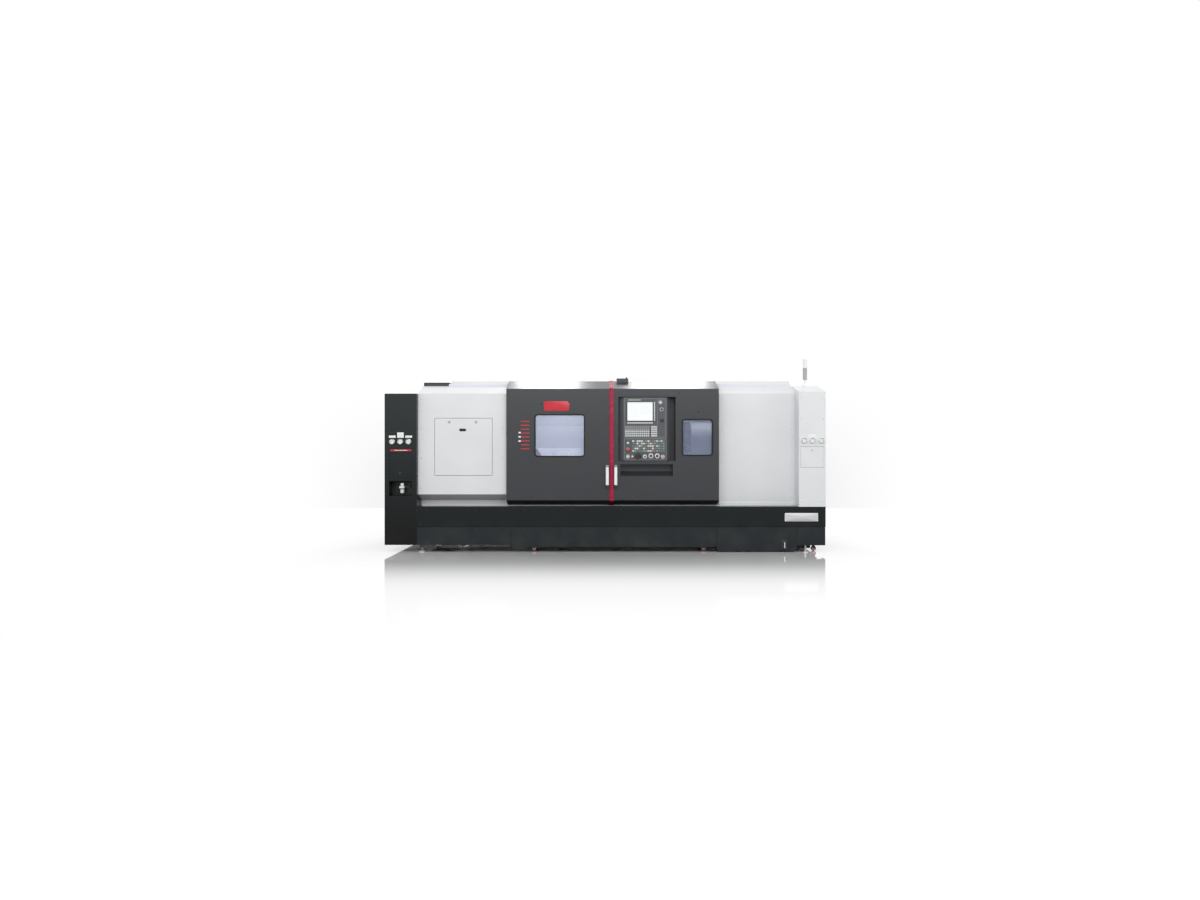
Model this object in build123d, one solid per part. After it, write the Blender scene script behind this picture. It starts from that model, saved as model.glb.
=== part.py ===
from build123d import *
import os
from math import cos, hypot, pi, radians, sin

# A long-bed turning lathe with two sliding doors, a slant bed, a turret and a tailstock.
# The origin is on the floor under its middle. +X is to the operator's right, +Y to the back, +Z up.
# Lengths are millimetres.

# Overall sizes
machine_length = 5160
machine_depth = 2260
handle_reach = 70
switch_reach = 40
main_depth = 1412  # from the front faces to the rear cabinet

# Heights above the floor
skirt_bottom = 85
middle_bottom = 60
right_bottom = 11
end_bottom = 80
fold_z = 296
base_top = 532
skirt_knee = 597
frame_bottom = 110
tower_top = 1856
column_top = 1877
roof_z = 1971
rear_roof_z = roof_z + 69
lamp_top = roof_z + 329

# Widths along the machine, from left to right
tower_width = 376
left_cover_width = 1048
trim_width = 54
right_door_width = 1226
door_gap = 31
right_cover_width = 907
column_width = 312

left_x = -machine_length / 2
right_x = machine_length / 2
tower_right = left_x + tower_width
left_door_left = tower_right + left_cover_width
column_left = right_x - column_width
right_cover_left = column_left - right_cover_width
right_door_right = right_cover_left - door_gap
right_door_left = right_door_right - right_door_width
left_door_right = right_door_left - trim_width
seam_x = right_door_left - trim_width / 2

# Depths
front_y = -machine_depth / 2 + handle_reach
rear_y = machine_depth / 2 - switch_reach
cabinet_y = front_y + main_depth
left_cover_setback = 65
right_cover_setback = 183
skirt_setback = 241
left_cover_y = front_y + left_cover_setback
right_cover_y = front_y + right_cover_setback
skirt_y = front_y + skirt_setback
roof_edge_y = front_y + 340

# Sheet and panel thicknesses
door_wall = 25
cover_wall = 15
panel_wall = 24
sheet = 12
thin_sheet = 6
running_gap = 0.3
shaft_clearance = 0.05
panel_gap = 4


def block(x0, x1, y0, y1, z0, z1):
    """A box between two corners."""
    middle = Pos((x0 + x1) / 2, (y0 + y1) / 2, (z0 + z1) / 2)
    return middle * Box(x1 - x0, y1 - y0, z1 - z0)


def side_prism(points, x0, x1):
    """An outline in Y and Z, carried from x0 to x1."""
    outline = Plane.YZ.offset(x0) * make_face(Polyline(*points, close=True))
    return extrude(outline, amount=x1 - x0)


def plan_prism(points, z0, z1):
    """An outline in X and Y, carried from z0 to z1."""
    outline = Pos(0, 0, z0) * make_face(Polyline(*points, close=True))
    return extrude(outline, amount=z1 - z0)


def rod_x(x0, x1, y, z, radius):
    return Pos((x0 + x1) / 2, y, z) * Rot(0, 90, 0) * Cylinder(radius, x1 - x0)


def rod_y(y0, y1, x, z, radius):
    return Pos(x, (y0 + y1) / 2, z) * Rot(90, 0, 0) * Cylinder(radius, y1 - y0)


def rod_z(z0, z1, x, y, radius):
    return Pos(x, y, (z0 + z1) / 2) * Cylinder(radius, z1 - z0)


def front_plate(x0, x1, z0, z1, radius, y0, y1):
    """A plate with rounded corners, seen from the front, from y0 back to y1."""
    middle = ((x0 + x1) / 2, y0, (z0 + z1) / 2)
    facing_back = Plane(origin=middle, x_dir=(1, 0, 0), z_dir=(0, 1, 0))
    return extrude(facing_back * RectangleRounded(x1 - x0, z1 - z0, radius), amount=y1 - y0)


def inset(points, wall):
    """The same open outline moved to the right of its direction by wall, with mitred corners."""
    normals = []
    for (ay, az), (by, bz) in zip(points, points[1:]):
        length = hypot(by - ay, bz - az)
        normals.append(((bz - az) / length, (ay - by) / length))
    moved = []
    for i, (y, z) in enumerate(points):
        before = normals[max(i - 1, 0)]
        after = normals[min(i, len(normals) - 1)]
        share = wall / (1 + before[0] * after[0] + before[1] * after[1])
        moved.append((y + share * (before[0] + after[0]), z + share * (before[1] + after[1])))
    return moved


def band(points, wall, start=0):
    """A closed outline between two insets of one open outline."""
    return inset(points, start) + inset(points, start + wall)[::-1]


def separate(*solids):
    """Several solids kept apart in one node."""
    return Compound(children=[one for item in solids for one in item.solids()])


nodes = {}

# The slanted bed: t runs up and back along it, n stands out of it, towards the operator
slant = 45
spindle_y = front_y + 580
spindle_z = 1060
axis_height = 410
bed_low = -270
bed_high = 580
slant_cos = cos(radians(slant))
slant_sin = sin(radians(slant))
bed_y = spindle_y + axis_height * slant_sin
bed_z = spindle_z - axis_height * slant_cos


def on_bed(t, n):
    """The Y and Z of a point given along and above the slanted bed."""
    return (bed_y + t * slant_cos - n * slant_sin, bed_z + t * slant_sin + n * slant_cos)


def bed_prism(points, x0, x1):
    """An outline in t and n, carried from x0 to x1."""
    return side_prism([on_bed(t, n) for t, n in points], x0, x1)


def bed_block(x0, x1, t0, t1, n0, n1):
    return bed_prism([(t0, n0), (t1, n0), (t1, n1), (t0, n1)], x0, x1)


def bed_rod(x0, x1, t, n, radius):
    y, z = on_bed(t, n)
    return rod_x(x0, x1, y, z, radius)


# Stations along the working space
bulkhead_left = -1040
bulkhead_wall = 30
chamber_left = bulkhead_left + bulkhead_wall
chamber_right = column_left - 118
rail_width = 34
rail_height = 30
carriage_rails = (190, 500)
tail_rails = (-210, 30)
bed_left = -1950
bed_right = chamber_right - 10
bed_low_y, bed_low_z = on_bed(bed_low, 0)
bed_high_y, bed_high_z = on_bed(bed_high, 0)


def make_bed():
    body = side_prism(
        [
            (bed_low_y, frame_bottom),
            (bed_low_y, bed_low_z),
            (bed_high_y, bed_high_z),
            (cabinet_y, bed_high_z),
            (cabinet_y, frame_bottom),
        ],
        bed_left,
        bed_right,
    )
    rail_left = chamber_left + 10
    for middle in carriage_rails + tail_rails:
        half = rail_width / 2
        body += bed_block(rail_left, bed_right, middle - half, middle + half, 0, rail_height)
    return body


nodes["bed"] = make_bed()

# Base of folded panels round the bed
base_foot_width = 335
middle_left = left_door_left + 55
middle_right = right_door_right - 21
end_left = right_x - base_foot_width
lower_setback = 4
stiffener_depth = 24
stiffener_half = 25
panel_seam = 3
tank_front = front_y + 110
tank_back = tank_front + 510
tank_right = right_x - 75
tank_top = 285
tank_clearance = 15
guide_low = 140
guide_high = 240
guide_left = right_x - 134
ledge_thickness = 12
ledge_lap = 20


def make_base_skirt():
    panel_back = front_y + panel_wall
    ledge_back = skirt_y + ledge_lap
    parts = [
        block(tower_right, right_x, front_y, panel_back, fold_z + panel_seam, base_top),
        block(tower_right, right_x, panel_back, ledge_back, base_top - ledge_thickness, base_top),
        block(
            tower_right,
            right_x - panel_wall,
            panel_back,
            panel_back + stiffener_depth,
            fold_z - stiffener_half,
            fold_z + stiffener_half,
        ),
    ]
    stations = [
        (tower_right, middle_left, skirt_bottom),
        (middle_left, middle_right, middle_bottom),
        (middle_right, end_left, right_bottom),
        (end_left, right_x, end_bottom),
    ]
    lower_front = front_y + lower_setback
    lower = [block(x0, x1 - panel_seam, lower_front, panel_back, low, fold_z) for x0, x1, low in stations]
    parts += lower
    # The right end is open where the tank runs out
    wall_left = right_x - panel_wall
    tank_slot_top = tank_top + tank_clearance
    tank_slot_front = tank_front - tank_clearance
    tank_slot_back = tank_back + tank_clearance
    ledge_bottom = base_top - ledge_thickness
    parts += [
        block(wall_left, right_x, panel_back, ledge_back, tank_slot_top, ledge_bottom),
        block(wall_left, right_x, ledge_back, cabinet_y, tank_slot_top, base_top),
        block(wall_left, right_x, panel_back, tank_slot_front, end_bottom, tank_slot_top),
        block(wall_left, right_x, tank_slot_back, cabinet_y, end_bottom, tank_slot_top),
        block(chamber_right, wall_left, cabinet_y - panel_wall, cabinet_y, end_bottom, base_top),
        # Two guide strips keep the tank straight as it runs out
        block(guide_left, right_x, tank_slot_front, tank_front - running_gap, guide_low, guide_high),
        block(guide_left, right_x, tank_back + running_gap, tank_slot_back, guide_low, guide_high),
        # The floor plate under the left end ties the skirt to the bed
        block(tower_right, middle_left, panel_back, bed_low_y, skirt_bottom, skirt_bottom + sheet),
        block(bed_left, middle_left, bed_low_y - 90, bed_low_y, skirt_bottom + sheet, fold_z),
    ]
    return separate(*parts)


nodes["base_skirt"] = make_base_skirt()

# Screw feet stand under the bed, the rear cabinet and the front skirt
foot_radius = 45
front_foot_radius = 34
foot_pad = 18
screw_radius = 12
nut_radius = 20
bed_feet_y = (spindle_y + 180, cabinet_y - 72)
bed_feet_x = (-1800, -600, 600, 1900)
cabinet_feet_x = (-1750, 200, 2100)
front_foot_left = (-2160, front_y + 110)
front_foot_right = (right_x - 224, front_y + 60)
cabinet_left = -1880
cabinet_right = column_left


def screw_foot(x, y, top, radius):
    pad = rod_z(0, foot_pad, x, y, radius)
    pad = chamfer(pad.edges().group_by(Axis.Z)[-1], 5)
    nut_bottom = foot_pad + 20
    nut = Pos(x, y, nut_bottom) * extrude(RegularPolygon(nut_radius, 6), amount=14)
    return pad + rod_z(foot_pad, top, x, y, screw_radius) + nut


def make_leveling_feet():
    feet = [screw_foot(x, y, frame_bottom, foot_radius) for x in bed_feet_x for y in bed_feet_y]
    feet += [screw_foot(x, rear_y - 110, frame_bottom, foot_radius) for x in cabinet_feet_x]
    feet.append(screw_foot(*front_foot_left, skirt_bottom, foot_radius))
    feet.append(screw_foot(*front_foot_right, fold_z - stiffener_half, front_foot_radius))
    return separate(*feet)


nodes["leveling_feet"] = make_leveling_feet()

# Doors: folded shells with a sloped hood and a bevelled foot
door_bottom = 543
door_knee = 608
door_shoulder = 1913
door_hood_top = 2024
foot_flange_back = front_y + 175
foot_flange_front = front_y + 160
hood_back = front_y + 275
hood_flange_back = front_y + 365
door_outline = [
    (foot_flange_back, door_bottom),
    (foot_flange_front, door_bottom),
    (front_y, door_knee),
    (front_y, door_shoulder),
    (hood_back, door_hood_top),
    (hood_flange_back, door_hood_top),
]
left_travel = 1000
right_travel = 900
rail_spare = 20
seal_depth = 28
left_window = (left_door_left + 338, left_door_right - 295, 1124, 1606)
right_window = (right_door_right - 424, right_door_right - 75, 1136, 1550)
window_radius = 32
window_lap = 22
pane = 10


def window_pane(window):
    x0, x1, z0, z1 = window
    back = front_y + door_wall
    return front_plate(
        x0 - window_lap, x1 + window_lap, z0 - window_lap, z1 + window_lap, window_radius, back, back + pane
    )


def window_hole(window):
    x0, x1, z0, z1 = window
    return front_plate(x0, x1, z0, z1, window_radius, front_y - 1, front_y + door_wall + 1)


def make_left_door():
    shell = side_prism(band(door_outline, door_wall), left_door_left, left_door_right)
    seal = side_prism(
        band(door_outline[1:-1], seal_depth, door_wall), left_door_left, left_door_left + door_wall
    )
    return shell + seal - window_hole(left_window)


nodes["left_door"] = make_left_door()
nodes["left_window"] = window_pane(left_window)
nodes["right_window"] = window_pane(right_window)

# Operator panel and its recess in the right door
recess_left = right_door_left + 52
recess_right = right_door_left + 721
recess_low = 1068
recess_high = 1816
recess_depth = 150
panel_left = recess_left + 4
panel_right = recess_left + 604
panel_low = recess_low + 5
panel_high = recess_high - 5
panel_depth = 117
panel_front = front_y + 8
panel_back = panel_front + panel_depth
plate_left = panel_left + 61
plate_right = panel_right - 40
cheek_depth = 42
swivel_x = panel_left + 8
swivel_y = front_y + 40
swivel_radius = 8
# Shelf scooped into the door under the panel
shelf_left = right_door_left + 74
shelf_right = right_door_left + 689
shelf_low = 888
shelf_high = 1028
shelf_depth = 100
shelf_back_low = 945
# Cable guide on the hood
guide_left = right_door_left + 36
guide_right = right_door_left + 176
guide_top = 2052


def make_right_door():
    shell = side_prism(band(door_outline, door_wall), right_door_left, right_door_right)
    inner = inset(door_outline, door_wall)
    seal_back = right_cover_y - 8
    slope = (inner[4][1] - inner[3][1]) / (inner[4][0] - inner[3][0])
    seal_top = inner[3][1] + slope * (seal_back - inner[3][0])
    seal = side_prism(
        [inner[1], inner[2], inner[3], (seal_back, seal_top), (seal_back, inner[1][1])],
        right_door_right - door_wall,
        right_door_right,
    )
    box_front = front_y + door_wall
    recess_box = block(
        recess_left - thin_sheet,
        recess_right + thin_sheet,
        box_front,
        front_y + recess_depth + thin_sheet,
        recess_low - thin_sheet,
        recess_high + thin_sheet,
    )
    shelf_points = [
        (front_y, shelf_low),
        (front_y + shelf_depth, shelf_back_low),
        (front_y + shelf_depth, shelf_high),
        (front_y, shelf_high),
    ]
    shelf_shell = [
        (front_y + 2, shelf_low - thin_sheet),
        (front_y + shelf_depth + thin_sheet, shelf_back_low - thin_sheet),
        (front_y + shelf_depth + thin_sheet, shelf_high + thin_sheet),
        (front_y + 2, shelf_high + thin_sheet),
    ]
    shelf_box = side_prism(shelf_shell, shelf_left - thin_sheet, shelf_right + thin_sheet)
    guide = block(
        guide_left, guide_right, hood_back - 45, hood_flange_back - 15, door_hood_top - door_wall, guide_top
    )
    under_hood = side_prism(
        [(front_y, inner[3][1]), inner[3], inner[4], (hood_back, 1900), (front_y, 1900)],
        guide_left - 1,
        guide_right + 1,
    )
    body = shell + seal + recess_box + shelf_box + (guide - under_hood)
    recess = block(recess_left, recess_right, front_y - 1, front_y + recess_depth, recess_low, recess_high)
    shelf_cut = side_prism(shelf_points, shelf_left, shelf_right)
    # The swivel's pins turn in the recess's top and bottom sheets
    pin_hole = rod_z(
        recess_low - thin_sheet, recess_high + thin_sheet, swivel_x, swivel_y, swivel_radius + shaft_clearance
    )
    return body - recess - shelf_cut - pin_hole - window_hole(right_window)


nodes["right_door"] = make_right_door()

# Red trim strips along the meeting edges, a little proud of the doors
trim_proud = 7
trim_round = 12


def trim_strip(x0, x1, outer_x):
    body = side_prism(band(inset(door_outline[1:-1], -trim_proud), trim_proud + door_wall), x0, x1)
    upright = [
        edge
        for edge in body.edges().filter_by(Axis.Z)
        if edge.length > 500
        and abs(edge.center().X - outer_x) < 1
        and edge.center().Y < front_y
    ]
    return fillet(upright, trim_round)


nodes["left_trim"] = trim_strip(left_door_right, seam_x - 0.5, left_door_right)
nodes["right_trim"] = trim_strip(seam_x + 0.5, right_door_left, right_door_left)

# Door handles: round grips between two end brackets
handle_low = 766
handle_high = 1018
grip_radius = 19
bracket_height = 24
left_handle_x = left_door_right - 25
right_handle_x = right_door_left + 20
grip_y = front_y - handle_reach + grip_radius


def door_handle(x):
    brackets = []
    for z0 in (handle_low, handle_high - bracket_height):
        bracket = block(x - grip_radius, x + grip_radius, grip_y, front_y, z0, z0 + bracket_height)
        brackets.append(bracket + rod_z(z0, z0 + bracket_height, x, grip_y, grip_radius))
    grip = rod_z(handle_low + bracket_height, handle_high - bracket_height, x, grip_y, grip_radius - 1)
    return separate(*brackets, grip)


nodes["left_handle"] = door_handle(left_handle_x)
nodes["right_handle"] = door_handle(right_handle_x)

# Fixed covers
cover_knee = 674
left_shoulder = 1861
right_shoulder = 1872
left_outline = [
    (skirt_y, base_top),
    (skirt_y, skirt_knee),
    (left_cover_y, cover_knee),
    (left_cover_y, left_shoulder),
    (roof_edge_y, roof_z),
    (cabinet_y, roof_z),
]
right_outline = [
    (right_cover_y, base_top),
    (right_cover_y, right_shoulder),
    (roof_edge_y, roof_z),
    (cabinet_y, roof_z),
]
bar_opening_radius = 60  # of the hole through which long bars reach the spindle
drip_lip = 6
lip_height = 46
panel_grip = (36, 12, 11)
service_left = tower_right + 194
service_right = left_door_left - 171
service_low = 894
service_high = 1573
service_wall = 18
service_inset = 7
service_pin = 4
service_pin_length = 12
service_axis_y = left_cover_y + service_inset
service_axis_z = service_low + panel_gap + service_inset


def make_left_cover():
    inner_left = tower_right + cover_wall
    shell = side_prism(band(left_outline, cover_wall), inner_left, bulkhead_left)
    end = side_prism(left_outline + [(cabinet_y, base_top)], tower_right, inner_left)
    end -= rod_x(tower_right - 1, inner_left + 1, spindle_y, spindle_z, bar_opening_radius)
    front = left_cover_y - 1
    back = left_cover_y + cover_wall + 1
    opening = block(service_left, service_right, front, back, service_low, service_high)
    pin_hole = rod_x(
        service_left - service_pin_length,
        service_right + service_pin_length,
        service_axis_y,
        service_axis_z,
        service_pin + shaft_clearance,
    )
    # A rear sheet closes the headstock's end between the tower and the rear cabinet
    rear_front = cabinet_y - cover_wall
    rear_low = skirt_bottom + sheet
    rear = block(inner_left, cabinet_left, rear_front, cabinet_y, rear_low, roof_z - 1)
    rear += block(tower_right, inner_left + 1, rear_front, cabinet_y, rear_low, base_top)
    rear -= block(bed_left, cabinet_left + 1, rear_front - 1, cabinet_y + 1, rear_low - 1, bed_high_z)
    return separate(shell + rear - opening - pin_hole, end)


def make_right_cover():
    shell = side_prism(band(right_outline, cover_wall), right_cover_left, column_left)
    lip_y = right_cover_y - drip_lip
    lip = side_prism(
        [
            (lip_y, base_top),
            (right_cover_y, base_top),
            (right_cover_y, base_top + lip_height),
            (lip_y, base_top + lip_height - drip_lip),
        ],
        right_cover_left,
        column_left,
    )
    return shell + lip


nodes["left_cover"] = make_left_cover()
nodes["right_cover"] = make_right_cover()

# Service panel: it tips out on two bottom pins and is held by two quarter turns
latch_x = (service_left + 173, service_right - 194)
latch_z = service_high - 49
latch_radius = 12
turn_head = 2.3
turn_rim = 4
turn_slot = 3
turn_behind = 4
tongue_width = 12
tongue_reach = 14
grip_x = (service_left + service_right) / 2 - 9
grip_z = service_high - 141


def make_service_panel():
    x0 = service_left + panel_gap
    x1 = service_right - panel_gap
    z0 = service_low + panel_gap
    z1 = service_high - panel_gap
    back = left_cover_y + service_wall
    body = block(x0, x1, left_cover_y, back, z0, z1)
    half_width, half_height, depth = panel_grip
    body -= block(
        grip_x - half_width,
        grip_x + half_width,
        left_cover_y - 1,
        left_cover_y + depth,
        grip_z - half_height,
        grip_z + half_height,
    )
    for x in latch_x:
        body -= rod_y(left_cover_y - 1, back + 1, x, latch_z, latch_radius + shaft_clearance)
    for a, b in ((x0 - service_pin_length, x0), (x1, x1 + service_pin_length)):
        body += rod_x(a, b, service_axis_y, service_axis_z, service_pin)
    return body


def quarter_turn(x, z, face_y, wall, radius):
    """A slotted quarter turn: a head, a body through the panel and a tongue behind it."""
    head_front = face_y - turn_head
    inner_end = face_y + wall + turn_behind
    head = rod_y(head_front, face_y - running_gap, x, z, radius + turn_rim)
    body = rod_y(head_front, inner_end, x, z, radius)
    half = tongue_width / 2
    low = z - radius - tongue_reach
    tongue = block(x - half, x + half, face_y + wall + 1, inner_end, low, z + radius)
    slot_half = turn_slot / 2
    slot = block(x - radius, x + radius, head_front - 1, face_y - turn_head / 2, z - slot_half, z + slot_half)
    return head + body + tongue - slot


nodes["service_panel"] = make_service_panel()
for number, x in enumerate(latch_x, 1):
    nodes[f"panel_latch_{number}"] = quarter_turn(x, latch_z, left_cover_y, service_wall, latch_radius)

# Small hinged doors on the tower, the right column and the rear cabinet
flap_wall = 18
pin_radius = 3
pin_inset = 4
pin_length = 8
edge_gap = 2
lock_radius = 9


def flush_door(x0, x1, z0, z1, outer_y, outward, lock=None):
    """A door flush in a face. outward is -1 for a front face and +1 for a rear face."""
    inner_y = outer_y - outward * flap_wall
    low_y, high_y = sorted((outer_y, inner_y))
    door = block(x0 + edge_gap, x1 - edge_gap, low_y, high_y, z0 + edge_gap, z1 - edge_gap)
    pin_x = x0 + edge_gap + pin_inset
    pin_y = outer_y - outward * pin_inset
    door += rod_z(z0 + edge_gap - pin_length, z0 + edge_gap, pin_x, pin_y, pin_radius)
    door += rod_z(z1 - edge_gap, z1 - edge_gap + pin_length, pin_x, pin_y, pin_radius)
    if lock:
        door -= rod_y(low_y - 1, high_y + 1, *lock, lock_radius + shaft_clearance)
    return door


def flush_recess(x0, x1, z0, z1, outer_y, outward, depth):
    """The space that a flush door closes, with the holes for its pins."""
    low_y, high_y = sorted((outer_y + outward, outer_y - outward * depth))
    space = block(x0, x1, low_y, high_y, z0, z1)
    pin_x = x0 + edge_gap + pin_inset
    pin_y = outer_y - outward * pin_inset
    reach = pin_length - edge_gap
    return space + rod_z(z0 - reach, z1 + reach, pin_x, pin_y, pin_radius + shaft_clearance)


tower_door = (left_x + 57, tower_right - 61, 868, 1161)
tower_lock = (left_x + 180, 927)
tower_recess = 130
reservoir_box = (
    left_x + 90,
    tower_right - 110,
    front_y + 60,
    front_y + tower_recess,
    tower_door[2],
    tower_door[2] + 212,
)
regulator_recess = (left_x + 52, tower_right - 57, 657, 833)
regulator_x = left_x + 192
regulator_y = front_y + 60
regulator_low = 745
regulator_high = 772
column_door = (column_left + 18, right_x - 20, 991, 1237)
column_lock = (column_left + 156, 1196)


def blocks_round(openings, x0, x1, y0, y1, z0, z1):
    """Plain blocks, face to face, that leave one opening above another through a box."""
    blocks = []
    low = z0
    for left, right, bottom, top in openings:
        blocks.append(block(x0, x1, y0, y1, low, bottom))
        blocks.append(block(x0, left, y0, y1, bottom, top))
        blocks.append(block(right, x1, y0, y1, bottom, top))
        low = top
    return blocks + [block(x0, x1, y0, y1, low, z1)]


def make_left_tower():
    # The front box is plain blocks round both recesses. Behind it two posts and two beams leave a
    # square passage for long bars, as wide as the round hole in the end plate beside it
    tower_split = front_y + tower_recess
    front = blocks_round(
        (regulator_recess, tower_door), left_x, tower_right, front_y, tower_split, skirt_bottom, tower_top
    )
    # The door's pins turn in the blocks under and over its recess
    door_space = flush_recess(*tower_door, front_y, -1, tower_recess + 1)
    front[3] -= door_space
    front[6] -= door_space
    passage_y = (spindle_y - bar_opening_radius, spindle_y + bar_opening_radius)
    passage_z = (spindle_z - bar_opening_radius, spindle_z + bar_opening_radius)
    front_post = block(left_x, tower_right, tower_split, passage_y[0], skirt_bottom, tower_top)
    rear_post = block(left_x, tower_right, passage_y[1], cabinet_y, skirt_bottom, tower_top)
    lower_beam = block(left_x, tower_right, *passage_y, skirt_bottom, passage_z[0])
    upper_beam = block(left_x, tower_right, *passage_y, passage_z[1], tower_top)
    # A lubricant reservoir with its filler cap stands behind the small door
    reservoir = block(*reservoir_box)
    reservoir = fillet(reservoir.edges().filter_by(Axis.Z).group_by(Axis.Y)[0], 12)
    cap_z = reservoir_box[5]
    cap_y = front_y + tower_recess - 40
    reservoir += rod_z(cap_z, cap_z + 20, left_x + 150, cap_y, 22)
    # The dark vent box lies on the roof beside the tower
    vent = block(tower_right, tower_right + 310, front_y + 375, front_y + 600, roof_z, roof_z + 46)
    vent = chamfer(vent.edges().filter_by(Axis.X).group_by(Axis.Z)[-1], 8)
    return separate(*front, front_post, rear_post, lower_beam, upper_beam, reservoir, vent)


def make_right_column():
    outline = [
        (front_y, base_top),
        (front_y, column_top),
        (roof_edge_y, roof_z),
        (cabinet_y, roof_z),
        (cabinet_y, base_top),
    ]
    body = side_prism(outline, column_left, right_x)
    body -= flush_recess(*column_door, front_y, -1, 110)
    valve = block(column_left + 70, right_x - 70, front_y + 60, front_y + 111, 1010, 1120)
    for i in range(3):
        valve += rod_y(front_y + 40, front_y + 60, column_left + 105 + 50 * i, 1065, 16)
    return body + valve


nodes["left_tower"] = make_left_tower()
nodes["right_column"] = make_right_column()
nodes["tower_door"] = flush_door(*tower_door, front_y, -1, tower_lock)
nodes["tower_lock"] = quarter_turn(*tower_lock, front_y, flap_wall, lock_radius)
nodes["column_door"] = flush_door(*column_door, front_y, -1, column_lock)
nodes["column_lock"] = quarter_turn(*column_lock, front_y, flap_wall, lock_radius)

# Pressure gauges and the air regulator
gauge_radius = 31
left_gauges = [(left_x + 90 + 96 * i, 1295) for i in range(3)]
right_gauges = [(column_left + x, 1308) for x in (59, 156, 260)]
gauge_depth = 22


def gauge_case(x, z):
    case = rod_y(front_y - gauge_depth, front_y, x, z, gauge_radius)
    face = rod_y(front_y - gauge_depth - 1, front_y - gauge_depth + 4, x, z, gauge_radius - 4)
    return case - face


def make_air_fittings():
    parts = [gauge_case(x, z) for x, z in left_gauges + right_gauges]
    head = block(
        regulator_x - 30, regulator_x + 30, regulator_y - 25, front_y + 130, regulator_low, regulator_high
    )
    bowl = rod_z(regulator_low - 58, regulator_low, regulator_x, regulator_y, 22)
    bowl = fillet(bowl.edges().group_by(Axis.Z)[0], 8)
    stem_hole = rod_z(regulator_high - 12, regulator_high + 1, regulator_x, regulator_y, 6 + shaft_clearance)
    parts.append(head + bowl - stem_hole)
    return separate(*parts)


def make_regulator_knob():
    cap = rod_z(regulator_high + running_gap, regulator_high + 34, regulator_x, regulator_y, 20)
    for i in range(12):
        around = radians(30 * i)
        cap -= rod_z(
            regulator_high,
            regulator_high + 35,
            regulator_x + 21 * cos(around),
            regulator_y + 21 * sin(around),
            2.5,
        )
    return cap + rod_z(regulator_high - 11, regulator_high + 1, regulator_x, regulator_y, 6)


nodes["air_fittings"] = make_air_fittings()
nodes["regulator_knob"] = make_regulator_knob()

# Signal lamp
lamp_x = column_left + 168
lamp_y = front_y + 370
lamp_radius = 25
lamp_flange = 34
lamp_stem = 8
lamp_low = roof_z + 77
lamp_section = 49


def make_signal_lamp():
    lamp = rod_z(roof_z, roof_z + 10, lamp_x, lamp_y, lamp_flange)
    lamp += rod_z(roof_z, lamp_low + 1, lamp_x, lamp_y, lamp_stem)
    lamp += rod_z(lamp_low, lamp_top, lamp_x, lamp_y, lamp_radius)
    for number in range(1, 5):
        z = lamp_low + number * lamp_section
        ring = rod_z(z - 2, z + 2, lamp_x, lamp_y, lamp_radius + 1)
        lamp -= ring - rod_z(z - 2, z + 2, lamp_x, lamp_y, lamp_radius - 2)
    return lamp


nodes["signal_lamp"] = make_signal_lamp()

# Working space: bulkheads, folded back wall, roof, chute, door rails and the fixed way covers
bulkhead_front = front_y + 55
bulkhead_knee = 679
bulkhead_shoulder = 1855
right_bulkhead_low = 560
header_drop = 70
header_depth = 26
chute_slope = 80
chute_wall = 10
wall_back = cabinet_y - 112
wall_fold_z = 1516
wall_lean = wall_back - 120
chute_gap = 45
spindle_nose = 130
cover_sheet = 3
cover_step = 6
cover_top = 76
cover_low_t = 131
cover_high_t = 559
# Each cover bridges half the carriage's travel and the laps at its ends
carriage_travel = 1250
cover_lap = 55
left_section = carriage_travel / 2 + 2 * cover_lap + 5
right_section = carriage_travel / 2 + 30


def way_cover(x0, x1, level):
    """An inverted trough over the carriage rails. Each level nests over the one below."""
    grow = level * cover_step
    t0 = cover_low_t - grow
    t1 = cover_high_t + grow
    top = cover_top + grow
    outer = bed_block(x0, x1, t0, t1, running_gap, top + cover_sheet)
    inner = bed_block(x0 - 1, x1 + 1, t0 + cover_sheet, t1 - cover_sheet, 0, top)
    return outer - inner


def bulkhead(x0, x1, front, knee):
    roof_front = roof_edge_y + 10
    chute_bottom = tank_top + chute_gap
    outline = [
        (skirt_y + ledge_lap, chute_bottom),
        (skirt_y + ledge_lap, base_top),
        (skirt_y, base_top),
        *knee,
        (front, bulkhead_shoulder),
        (roof_front, roof_z - cover_wall - 1),
        (wall_back + sheet, roof_z - cover_wall - 1),
        (wall_back + sheet, bed_high_z),
        (bed_high_y, bed_high_z),
        (bed_low_y, bed_low_z),
        (bed_low_y, chute_bottom),
    ]
    return side_prism(outline, x0, x1)


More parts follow.
